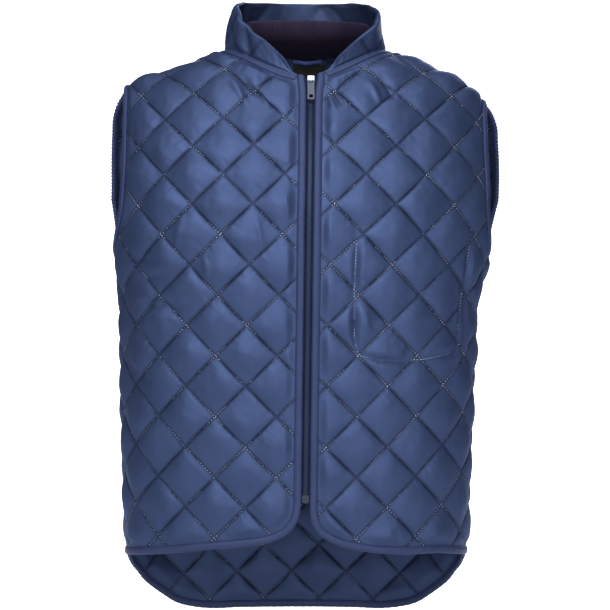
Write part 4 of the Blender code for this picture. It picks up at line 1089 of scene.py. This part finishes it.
def make_collar(edge, shell, knit, thread):
    rows_at = np.concatenate([np.linspace(*rows) for rows in COLLAR_ROWS])
    grid, outward, half, share, lengths, height = collar_grid(edge, rows_at)
    up = height[None, :] * rows_at[:, None]
    around = np.repeat(lengths[None], len(rows_at), axis=0)
    middle = lengths[-1] / 2
    p = (around - middle) / DIAMOND_WIDTH + (up - CROSSING_UP) / DIAMOND_HEIGHT
    q = (around - middle) / DIAMOND_WIDTH - (up - CROSSING_UP) / DIAMOND_HEIGHT
    away_top = np.maximum(height[None, :] - up, 0)
    ends = np.minimum(around, lengths[-1] - around)
    fade = ease(np.minimum(np.minimum(up, away_top) / 0.007, ends / 0.006))
    relief = []
    for face, tall in COLLAR_PUFFS:
        puff = np.abs(np.sin(math.pi * p) * np.sin(math.pi * q)) ** 0.55
        bumps = tall * (puff - 0.35)
        for across, along in ((p, q), (q, p)):
            gap = np.abs(across - np.round(across)) * STEEP
            turn = along * STEEP * 2 * math.pi / 0.0085 + np.round(across) * 2.3
            wave = np.sin(turn + 2 * wobble(around, up, 0.05, 31))
            bumps = bumps + 0.0003 * wave * np.exp(-gap / 0.007) * (1 - np.exp(-gap / 0.0016))
        seam = np.sin(around * 2 * math.pi / 0.0088 + 3 * wobble(around, up, 0.05, 14 + face))
        bumps = bumps + 0.00045 * seam * (np.exp(-up / 0.010) + np.exp(-away_top / 0.008))
        bumps = bumps * fade
        relief.append(bumps)
    crease = 0.0
    for place, rise, width in COLLAR_CREASES:
        bend = (around - place * lengths[-1] + 0.006 * wobble(around, up, 0.08, 51)) / width
        crease = crease + rise * np.exp(-bend * bend) * ease(up / 0.02) * ease(ends / 0.02)
    topping = 0.0009 * wobble(around, up, 0.05, 66) * ease(up / 0.03)
    body = grid + outward * (crease + topping)[:, :, None]
    edge_round = np.sqrt(np.clip(1 - np.clip((rows_at - 0.955) / 0.045, 0, 1) ** 2, 0.04, 1))[:, None]
    outer = body + outward * (half * edge_round + np.maximum(relief[0], -half * 0.45))[:, :, None]
    inner = body - outward * (half * edge_round + np.maximum(relief[1], -half * 0.45))[:, :, None]
    collar = sheet_solid("cloth_collar", outer, inner, shell)
    # Painted shade: darker colour along the stitch lines, and on the inner face towards the centre back
    marks = painted_groove_shade(p, q) * fade
    shade = np.maximum(marks, INNER_SHADE * ease(share / 0.5)[None, :])
    store_painted_shade(collar, np.concatenate([marks.ravel(), shade.ravel()]))

    sets = []
    surface = {OUTSIDE: outer, INSIDE: inner}
    for face in (OUTSIDE, INSIDE):
        spot = surface[face]
        top_row = np.argmin(np.abs(rows_at - 0.93))
        sets.append(row_of_stitches(spot[top_row, 4:-4] + outward[top_row, 4:-4] * face * 0.0001,
                                    outward[top_row, 4:-4] * face))
        for line in range(-7, 8):
            for slope in (1, -1):
                a = np.linspace(0, lengths[-1], 500)
                h = CROSSING_UP + slope * (line - (a - middle) / DIAMOND_WIDTH) * DIAMOND_HEIGHT
                tall = np.interp(a, lengths, height)
                r = h / tall
                good = (r > 0.08) & (r < 0.90) & (a > 0.01) & (a < lengths[-1] - 0.01)
                if good.sum() < 12:
                    continue
                column = np.interp(a[good], lengths, np.arange(len(lengths)))
                row = np.interp(r[good], rows_at, np.arange(len(rows_at)))
                line_points = bilinear(spot, row, column)
                line_normals = bilinear(outward, row, column) * face
                sets.append(row_of_stitches(line_points + line_normals * 0.0001, line_normals))
    stitches = stitch_mesh("stitches_collar", sets, thread)

    kept = np.where(share > RIB_START)[0]
    places = np.linspace(kept[0], kept[-1], RIB_COUNT * RIB_STEPS + 1)
    rises = np.linspace(0.035, 0.90 * RIB_RISE, 34)
    near, far = [], []
    rib_share = np.interp(places, np.arange(len(share)), share)
    low = 0.30 + 0.70 * ease((rib_share - RIB_START) / RIB_ROUND)
    plain_inner = grid - outward * half[:, :, None]
    for rise in rises:
        place = rise * low
        row = np.interp(place, rows_at, np.arange(len(rows_at)))
        spot = bilinear(plain_inner, row, places)
        turned = bilinear(outward, row, places)
        away = SEAM_GAP + RIB_AWAY * ease(place / 0.5)
        turn = np.arange(len(places)) / RIB_STEPS * 2 * math.pi
        ribs = RIB_DEEP * np.cos(turn + 0.6 * wobble(places * 0.003, place, 0.05, 5))
        sag = 0.0010 * wobble(places * 0.001, np.full(len(places), rise * 0.05), 0.05, 12)
        tip = math.sqrt(max(1 - max((rise - rises[-4]) / (rises[-1] - rises[-4]), 0) ** 2, 0.08))
        near.append(spot - turned * (away + sag + RIB_WALL / 2 * (1 - tip) - ribs * tip)[:, None])
        far.append(spot - turned * (away + sag + RIB_WALL - RIB_WALL / 2 * (1 - tip) + ribs * tip)[:, None])
    rib = sheet_solid("knit_rib_collar", np.array(near), np.array(far), knit, 80)
    return collar, stitches, rib


def bilinear(grid, row, column):
    r, c = np.clip(row, 0, grid.shape[0] - 1.001), np.clip(column, 0, grid.shape[1] - 1.001)
    i, j = r.astype(int), c.astype(int)
    u, v = (r - i)[:, None], (c - j)[:, None]
    lower = grid[i, j] * (1 - v) + grid[i, j + 1] * v
    upper = grid[i + 1, j] * (1 - v) + grid[i + 1, j + 1] * v
    return lower * (1 - u) + upper * u


def zip_frame(form, z):
    flat = form.flat_xz(float(zip_x(z) - section("centre_x", z)), z, 1)
    points, normals = form.at(np.array([flat, flat + (0, 0.002), flat - (0, 0.002)]))
    up = unit(points[1] - points[2])
    out = normals[0] - up * (normals[0] @ up)
    out = unit(out * (0, 1, 1))
    across = np.array([1.0, 0.0, 0.0])
    return points[0], across, unit(np.cross(out, across)) * np.sign(up[2]), out


TOOTH_PITCH = 0.0025
# Corners of a tooth at three depths: depth, inner side, half height and outer side
TOOTH = (
    (-0.0034, -0.0009, 0.00078, 0.0029),
    (-0.0013, -0.0009, 0.00078, 0.0029),
    (-0.0009, -0.0004, 0.00050, 0.0024),
)


def make_chain(form, material):
    """Moulded teeth, left and right in turn, on a narrow core."""
    first, last = ZIP_TOP_Z - 0.018, ZIP_END_Z - 0.001
    heights = np.linspace(first + 0.012, last, 60)
    frames = [zip_frame(form, z) for z in heights]
    centres = np.array([f[0] for f in frames])
    outs, ups = np.array([f[3] for f in frames]), np.array([f[2] for f in frames])
    lengths = lengths_of(centres)
    places = np.arange(0.0006, lengths[-1], TOOTH_PITCH / 2)
    centre = picked(centres, lengths, places)
    out, up = unit(picked(outs, lengths, places)), unit(picked(ups, lengths, places))
    across = np.array([1.0, 0.0, 0.0])
    hands = np.where(np.arange(len(places)) % 2 == 0, 1.0, -1.0)[:, None]
    outline = []
    for row in TOOTH:
        depth, inner, half, wide = row
        for a, b in ((inner, -half), (wide, -half), (wide, half), (inner, half)):
            outline.append(centre + across * a * hands + up * b + out * depth)
    points = np.stack(outline, axis=1)
    faces = [(3, 2, 1, 0), (8, 9, 10, 11)]
    for ring in (0, 4):
        for k in range(4):
            m = (k + 1) % 4
            faces.append((ring + k, ring + m, ring + 4 + m, ring + 4 + k))
    faces = np.array(faces)
    every = []
    for i in range(len(points)):
        turned = faces if hands[i, 0] > 0 else faces[:, ::-1]
        every.append(turned + i * 12)
    return new_mesh("teeth_zip_chain", points.reshape(-1, 3), np.concatenate(every), material, 30)


def make_tape(form, panel, hand, material):
    """Woven tape beside the teeth, as far as it shows under the binding."""
    run = panel.run("edge")["points"]
    heights = panel.space(run)[0][:, 2]
    stations = [z for z in heights if z > ZIP_END_Z - 0.003]
    sides = np.linspace(TAPE_FROM, TAPE_TO, 6) * hand
    high, low = [], []
    for k, z in enumerate(stations):
        line = float(zip_x(z) - section("centre_x", z))
        t = form.flat_xz(line, z, 1)[1]
        points, normals = form.at(np.array([(line + side, t) for side in sides]))
        normals = np.repeat(normals.mean(axis=0)[None], len(sides), axis=0)
        wave = 0.00015 * math.sin(k * 1.9)
        high.append(points + normals * (TAPE_OUT + wave))
        low.append(points + normals * (TAPE_IN + wave))
    name = "tape_zip_left" if hand > 0 else "tape_zip_right"
    return sheet_solid(name, np.array(high), np.array(low), material)


def make_label_and_loop(back, label_material, loop_material, thread):
    neck = back.run("neck")["row"]
    middle = neck[len(neck) // 2]
    s_at = np.linspace(-LABEL_SIZE[0] / 2, LABEL_SIZE[0] / 2, 30) + LABEL_CENTRE
    rows = []
    for drop in np.linspace(0.0012, LABEL_SIZE[1] + 0.0012, 24):
        points, normals = back.space(np.column_stack([s_at, np.full(30, middle[1] - drop)]))
        lift = SEAM_GAP + 0.0002 + 0.0007 * ease((drop - 0.004) / 0.03) * (1 + 0.5 * np.sin(s_at * 160))
        rows.append((points - normals * lift[:, None], points - normals * (lift + LABEL_WALL)[:, None]))
    near, far = np.array([r[0] for r in rows]), np.array([r[1] for r in rows])
    label = sheet_solid("label_neck", near, far, label_material)
    normals = -unit(near - far)
    top = row_of_stitches(far[2] + normals[2] * 0.0001, normals[2], 0.0022, 0.0015)
    label_thread = stitch_mesh("stitches_label", [top], thread, 0.00016)

    top_t = back.run("neck")["points"][len(neck) // 2][1] - 0.0012
    profiles = []
    for share in np.linspace(-0.5, 0.5, 41):
        s = LABEL_CENTRE - 0.0035 + share * LOOP_SIZE[0]
        drops = np.linspace(0, LOOP_SIZE[1], 7)
        points, out = back.space(np.column_stack([np.full(7, s), top_t - drops]))
        bow = SEAM_GAP + 0.0045 * math.cos(math.pi * share) ** 2
        rounded = 0.0003 * np.sin(np.linspace(0, math.pi, 7))
        thick = 0.0008 * np.array([0.6, 1, 1, 1, 1, 1, 0.6])
        profiles.append(np.concatenate([points - out * (bow + rounded)[:, None],
                                        (points - out * (bow + rounded + thick)[:, None])[::-1]]))
    loop = swept("ribbon_hanger_loop", profiles, False, loop_material)
    return label, label_thread, loop


def make_neck_band(neck, material):
    """Tape over the neck seam, with stitches along both its edges."""
    profiles, lines = [], ([], [])
    shape = ((0.0, 0.0003), (0.0, 0.0010), (0.06, 0.0014), (0.16, 0.0010), (0.3, 0.0014), (0.5, 0.0015),
             (0.7, 0.0014), (0.84, 0.0010), (0.94, 0.0013), (1.0, 0.0009), (1.0, 0.0003))
    lengths = lengths_of(neck["e"])
    for k in range(len(neck["e"])):
        e, i, e_n, i_n = neck["e"][k], neck["i"][k], neck["en"][k], neck["in"][k]
        wave = 0.00012 * math.sin(lengths[k] * 2 * math.pi / 0.009)
        profile = []
        for share, above in shape:
            normal = unit(e_n + (i_n - e_n) * share)
            profile.append(e + (i - e) * share + normal * (WALL + above + (wave if 0 < share < 1 else 0)))
        profiles.append(profile)
        for side, share in ((0, 0.16), (1, 0.84)):
            normal = unit(e_n + (i_n - e_n) * share)
            lines[side].append((e + (i - e) * share + normal * (WALL + 0.0011), normal))
    band = swept("tape_neck_band", profiles, False, material)
    sets = []
    for side in lines:
        places, normals = (np.array(values)[1:-1] for values in zip(*side))
        sets.append(row_of_stitches(places, normals))
    return band, sets


def new_material(name):
    material = bpy.data.materials.new(name)
    material.use_nodes = True
    return material


def feed(material, target, inputs):
    """Sets a node's inputs by name or number, and links those given as another node's output."""
    for name, value in inputs.items():
        if isinstance(value, bpy.types.NodeSocket):
            material.node_tree.links.new(value, target.inputs[name])
        else:
            target.inputs[name].default_value = value


def node(material, kind, inputs, output=0, **settings):
    """A new shader node with its settings and inputs, as one of its outputs."""
    made = material.node_tree.nodes.new("ShaderNode" + kind)
    for name, value in settings.items():
        setattr(made, name, value)
    feed(material, made, inputs)
    return made.outputs[output]


def ramp_node(material, source, places, colours):
    """A colour ramp between two places."""
    colour = node(material, "ValToRGB", {"Fac": source}, "Color")
    for stop, place, value in zip(colour.node.color_ramp.elements, places, colours):
        stop.position, stop.color = place, (*value, 1)
    return colour


def shader_of(material):
    return material.node_tree.nodes["Principled BSDF"]


def dim_colour(material, share):
    """Multiplies the cloth's colour by another node's value."""
    colour = shader_of(material).inputs["Base Color"].links[0].from_socket
    dimmed = node(material, "VectorMath", {0: colour, "Scale": share}, operation="SCALE")
    feed(material, shader_of(material), {"Base Color": dimmed})


def paint_groove_shade(material, share):
    # Painted shade: the colour is darkened where the stored weight is high, in the stitch grooves and inside
    # the collar
    marks = node(material, "Attribute", {}, "Fac", attribute_name="groove")
    dim_colour(material, node(material, "Math", {0: marks, 1: -share, 2: 1.0}, operation="MULTIPLY_ADD"))


def cloth_material(name, base, deep, rough, sheen, coat, weave, weave_scale, specular=0.5, metallic=0.0,
                   tint=1.0, tones=(0.35, 0.65)):
    """Cloth with an uneven tone and gloss and a fine woven bump, all of it procedural."""
    material = new_material(name)
    place = node(material, "TexCoord", {}, "Object")
    large = node(material, "TexNoise", {"Vector": place, "Scale": 26, "Detail": 4}, "Fac")
    small = node(material, "TexNoise", {"Vector": place, "Scale": 380, "Detail": 3}, "Fac")
    scaled = node(material, "Math", {0: large, 1: 0.65}, operation="MULTIPLY")
    tone = node(material, "Math", {0: small, 1: 0.35, 2: scaled}, operation="MULTIPLY_ADD")
    gloss = {"Value": tone, "From Min": 0.3, "From Max": 0.7, "To Min": rough - 0.05, "To Max": rough + 0.06}
    thread = {"Vector": place, "Scale": weave_scale, "Distortion": 0.6}
    warp, weft = (node(material, "TexWave", thread, "Fac", bands_direction=way) for way in "XZ")
    woven = node(material, "Math", {0: warp, 1: weft}, operation="ADD")
    feed(material, shader_of(material), {
        "Metallic": metallic,
        "Specular IOR Level": specular,
        "Sheen Weight": sheen,
        "Sheen Roughness": 0.35,
        "Coat Weight": coat,
        "Coat Roughness": 0.30,
        "Specular Tint": (*[1 - tint * (1 - c / base[2]) for c in base], 1),
        "Sheen Tint": (*[c / base[2] for c in base], 1),
        "Base Color": ramp_node(material, tone, tones, (deep, base)),
        "Roughness": node(material, "MapRange", gloss),
        "Normal": node(material, "Bump", {"Strength": weave, "Distance": 0.0001, "Height": woven}),
    })
    return material


def paint_shade_below(material, low_z, high_z):
    """Painted shade: lets the colour fade to near black from one height down to another, where the inside of
    the neck lies in shade.
    """
    height = node(material, "SeparateXYZ", {0: node(material, "TexCoord", {}, "Object")}, "Z")
    fade = {"Value": height, "From Min": low_z, "From Max": high_z, "To Min": 0.12, "To Max": 1.0}
    dim_colour(material, node(material, "MapRange", fade))


def metal_material(name, colour, rough):
    material = new_material(name)
    place = node(material, "TexCoord", {}, "Object")
    noise = node(material, "TexNoise", {"Vector": place, "Scale": 900}, "Fac")
    tones = [[c * share for c in colour] for share in (0.75, 1.2)]
    gloss = node(material, "MapRange", {"Value": noise, "To Min": rough - 0.08, "To Max": rough + 0.08})
    feed(material, shader_of(material), {
        "Metallic": 1.0,
        "Base Color": ramp_node(material, noise, (0.0, 1.0), tones),
        "Roughness": gloss,
    })
    return material


def area_light(name, place, target, size, power):
    data = bpy.data.lights.new(name, "AREA")
    data.shape = "RECTANGLE"
    data.size, data.size_y = size
    data.energy = power
    lamp = bpy.data.objects.new(name, data)
    lamp.location = place
    lamp.rotation_euler = (Vector(target) - Vector(place)).to_track_quat("-Z", "Y").to_euler()
    bpy.context.scene.collection.objects.link(lamp)


def stage_material(name, glow):
    material = new_material(name)
    feed(material, shader_of(material), {
        "Base Color": (0.93, 0.93, 0.94, 1),
        "Roughness": 0.9,
        "Emission Color": (1, 1, 1, 1),
        "Emission Strength": glow,
    })
    return material


def set_stage():
    """A plain floor, the glowing strip and screen behind the vest, the lights and the camera."""
    white = stage_material("stage_white", STAGE_GLOW)
    for name, points, material in (
        ("floor", floor_corners(FLOOR_Z, (-FLOOR_HALF, FLOOR_HALF), (FLOOR_HALF, FLOOR_HALF)),
         stage_material("stage_floor", 0.0)),
        ("strip", floor_corners(FLOOR_Z + 0.001, (STRIP_Y, SCREEN_Y), STRIP_HALVES), white),
        ("screen", [(-SCREEN_HALF, SCREEN_Y, FLOOR_Z), (SCREEN_HALF, SCREEN_Y, FLOOR_Z),
                    (SCREEN_HALF, SCREEN_Y, -FLOOR_Z), (-SCREEN_HALF, SCREEN_Y, -FLOOR_Z)], white),
    ):
        new_mesh("stage_" + name, points, [(0, 1, 2, 3)], material)
    world = bpy.data.worlds.new("soft_white")
    world.use_nodes = True
    world.node_tree.nodes["Background"].inputs["Color"].default_value = (1, 1, 1, 1)
    world.node_tree.nodes["Background"].inputs["Strength"].default_value = WORLD_POWER
    bpy.context.scene.world = world
    bpy.context.scene.view_settings.view_transform = "Standard"
    for light in LIGHTS:
        area_light(*light)
    data = bpy.data.cameras.new("camera")
    data.sensor_width = 36
    data.lens = LENS
    camera = bpy.data.objects.new("camera", data)
    camera.location = (0, -CAMERA_AWAY, CAMERA_Z)
    camera.rotation_euler = (math.pi / 2, 0, 0)
    bpy.context.scene.collection.objects.link(camera)
    bpy.context.scene.camera = camera


def floor_corners(z, depths, halves):
    (near, far), (narrow, wide) = depths, halves
    return [(-narrow, near, z), (narrow, near, z), (wide, far, z), (-wide, far, z)]


WORLD_POWER = 0.10
STAGE_GLOW = 1.0
FLOOR_Z, FLOOR_HALF = -0.80, 6
STRIP_Y, STRIP_HALVES = 0.33, (0.62, 1.5)
SCREEN_Y, SCREEN_HALF = 2.8, 1.15
# Name, place, target, size and power of each softbox
LENS, CAMERA_AWAY, CAMERA_Z = 90.2, 2.0, -0.3316
LIGHTS = (
    ("key", (-0.60, -2.45, 1.15), (0, 0, -0.35), (1.3, 1.3), 56),
    ("fill", (0.75, -2.9, 0.0), (0, 0, -0.35), (1.3, 1.5), 21),
    ("top", (0.0, -0.6, 2.0), (0, 0, -0.2), (1.4, 0.8), 22),
    ("back", (0.8, 2.4, 0.8), (0, 0, -0.35), (1.5, 1.5), 40),
)


def settle(obj, slot_name, *nodes):
    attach(obj, "vest")
    if nodes:
        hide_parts(*nodes)
    return obj


def declare_panel(panel):
    loop = panel.loop()


# Flat sizes of the strips, and the thickness of the thread along the edges
FOLDED_WIDE, BAND_WIDE, EDGE_STITCH = 0.0215, BINDING_WIDTH + 0.002, 0.00022
# Plain patch of cloth behind the label, from its centre and from the neck seam
PATCH_SIDES, PATCH_HEIGHTS = (-0.026, 0.026), (-0.036, 0.012)


def main():
    shell = cloth_material("shell_nylon", SHELL, SHELL_DEEP, 0.54, 0.03, 0.0, 0.10, 900, 0.5, 0.62, 0.6)
    # Painted shade in the stitch grooves and inside the collar, darkening the shell's colour by up to 60 %
    paint_groove_shade(shell, 0.60)
    edging = cloth_material("binding_tape", EDGING, EDGING_DEEP, 0.50, 0.03, 0.0, 0.30, 700, 0.4, 0.20, 0.6)
    knit = cloth_material("rib_knit", KNIT, KNIT_DEEP, 0.95, 0.10, 0.0, 0.5, 500, 0.2)
    # Painted shade: the knit darkens to near black below its top fold, inside the neck
    paint_shade_below(knit, 0.022, 0.052)
    tape = cloth_material("zip_tape", TAPE, TAPE_DEEP, 0.85, 0.1, 0.0, 0.6, 600, 0.3)
    satin = cloth_material("loop_satin", SATIN, SATIN_DEEP, 0.30, 0.2, 0.2, 0.2, 900)
    bare = cloth_material("label_woven", LABEL, LABEL_DEEP, 0.7, 0.1, 0.0, 0.4, 700, 0.3)
    # Painted glint: the thread's colour switches at random between navy and a light blue-grey that stands in
    # for its glints
    thread = cloth_material("thread", THREAD_PAINTED_GLINT, THREAD_DEEP, 0.45, 0.1, 0.0, 0.2, 2000, tones=(0.50, 0.54))
    dark_thread = cloth_material("edge_thread", EDGE_THREAD, EDGE_THREAD_DEEP, 0.5, 0.2, 0.0, 0.2, 2000)
    teeth = cloth_material("teeth_plastic", TEETH, TEETH_DEEP, 0.38, 0.0, 0.1, 0.0, 900)
    metal = metal_material("slider_metal", METAL, 0.30)
    dark_metal = metal_material("gunmetal", DARK_METAL, 0.36)

    front_form, back_form = BodyFace(FRONT), BodyFace(BACK)
    fronts = {-1: make_front("front_right", front_form, -1, HEM_RIGHT),
              1: make_front("front_left", front_form, 1, HEM_LEFT)}
    pocket = []
    for s, z in POCKET:
        heights = front_form.column(front_form.points[:, :, 2], s)
        pocket.append((s, np.interp(z, heights, front_form.column(front_form.t, s))))
    fronts[1].grooves.append(even(pocket, 0.0022))
    back = make_back(back_form)
    neck_row = back.run("neck")["row"]
    neck_mid = neck_row[len(neck_row) // 2]
    (left, right), (low, high) = PATCH_SIDES, PATCH_HEIGHTS
    back.flat_patch = ((LABEL_CENTRE + left, neck_mid[1] + low), (LABEL_CENTRE + right, neck_mid[1] + high))

    for panel, cells in ((fronts[-1], (CELL_FINE, CELL_PLAIN)), (fronts[1], (CELL_FINE, CELL_PLAIN)),
                         (back, (CELL_PLAIN, CELL_PLAIN))):
        cloth = settle(panel.build(*cells, shell), "shell", panel.name)
        sets = [panel.stitches()]
        if panel is back:
            sets.append(panel.stitches(INSIDE))
        threads = settle(stitch_mesh("stitches_" + panel.name, sets, thread), "shell")
        declare_panel(panel)

    for hand, side in ((-1, "right"), (1, "left")):
        edge = fronts[hand].edge("edge")
        waves = slow_waves(edge, 0.00018, 0.011, 0.00015, 3)
        bind("tape_front_" + side, "front_binding_" + side, edge, False, edging, dark_thread, waves)

        rear = back.edge("armhole_" + side)
        if hand == -1:
            rear = reverse_edge(rear)
        fore = fronts[hand].edge("armhole")
        ring = close_edge(join_edges(reverse_edge(fore), rear))
        waves = gathers(ring, len(fore["e"]))
        bind("tape_armhole_" + side, "armhole_binding_" + side, ring, True, edging, dark_thread, waves)
    edge = back.edge("tail")
    waves = slow_waves(edge, 0.0002, 0.010, 0.0002, 4)
    bind("tape_tail", "tail_binding", edge, False, edging, dark_thread, waves)

    right = reverse_edge(cut_edge(fronts[-1].edge("neck"), 0, -2))
    left = cut_edge(fronts[1].edge("neck"), 0, -2)
    neck = join_edges(right, reverse_edge(back.edge("neck")), left)
    band, sets = make_neck_band(neck, edging)
    trim(band, sets, "neck_band", dark_thread)

    collar, stitches, rib = make_collar(neck, shell, knit, dark_thread)
    settle(collar, "shell", "collar")
    settle(stitches, "shell")
    settle(rib, "rib_knit", "rib_collar")

    for hand, side in ((-1, "right"), (1, "left")):
        strip = settle(make_tape(front_form, fronts[hand], hand, tape), "zip_tape", "zip_tape_" + side)
    settle(make_chain(front_form, teeth), "zip_teeth", "zip_chain")
    label, label_thread, loop = make_label_and_loop(back, bare, satin, dark_thread)
    settle(label, "label", "neck_label")
    settle(label_thread, "label")
    settle(loop, "satin", "hanger_loop")
    for node_name, finish in (("zip_slider", metal), ("zip_pull", dark_metal), ("zip_box", dark_metal)):
        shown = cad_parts[node_name]
        shown.data.materials.clear()
        shown.data.materials.append(finish)
    set_stage()


def trim(made, sets, node_name, thread):
    settle(made, "binding", node_name)
    threads = settle(stitch_mesh("stitches_" + node_name, sets, thread, EDGE_STITCH), "binding")


def bind(name, node_name, edge, closed, edging, thread, waves):
    made, sets = fold_binding(name, edge, closed, edging, waves)
    trim(made, sets, node_name, thread)


def slow_waves(edge, rise, pitch, uneven, seed):
    lengths = lengths_of(edge["e"])
    return rise * np.sin(lengths * 2 * math.pi / pitch) + uneven * wobble(lengths, lengths, 0.06, seed)


def gathers(ring, front_count):
    # The gathers are full behind the arm and nearly gone along the front's edge
    lengths = lengths_of(ring["e"])
    turn = lengths * 2 * math.pi / GATHER_PITCH + 1.2 * wobble(lengths, lengths, 0.05, 8)
    place = np.arange(len(lengths))
    behind = ease((place - front_count - 8) / 14) * ease((len(lengths) - place) / 14)
    return GATHER_RISE * np.sin(turn) * (0.15 + 0.85 * behind)


SHELL, SHELL_DEEP = (0.050, 0.077, 0.175), (0.042, 0.065, 0.152)
EDGING, EDGING_DEEP = (0.037, 0.052, 0.130), (0.030, 0.043, 0.108)
KNIT, KNIT_DEEP = (0.045, 0.036, 0.070), (0.022, 0.017, 0.036)
TAPE, TAPE_DEEP = (0.012, 0.018, 0.048), (0.009, 0.013, 0.036)
SATIN, SATIN_DEEP = (0.070, 0.095, 0.28), (0.055, 0.080, 0.24)
LABEL, LABEL_DEEP = (0.012, 0.013, 0.011), (0.009, 0.010, 0.009)
# Quilting thread: a light blue-grey painted glint, and its own navy
THREAD_PAINTED_GLINT, THREAD_DEEP = (0.58, 0.62, 0.72), (0.036, 0.050, 0.120)
EDGE_THREAD, EDGE_THREAD_DEEP = (0.035, 0.050, 0.14), (0.028, 0.040, 0.12)
TEETH, TEETH_DEEP = (0.020, 0.028, 0.050), (0.014, 0.021, 0.038)
METAL, DARK_METAL = (0.30, 0.33, 0.38), (0.050, 0.060, 0.080)

main()
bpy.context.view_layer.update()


def plain(value):
    """Bounds as plain lists of numbers."""
    return [[float(v) for v in corner] for corner in value]
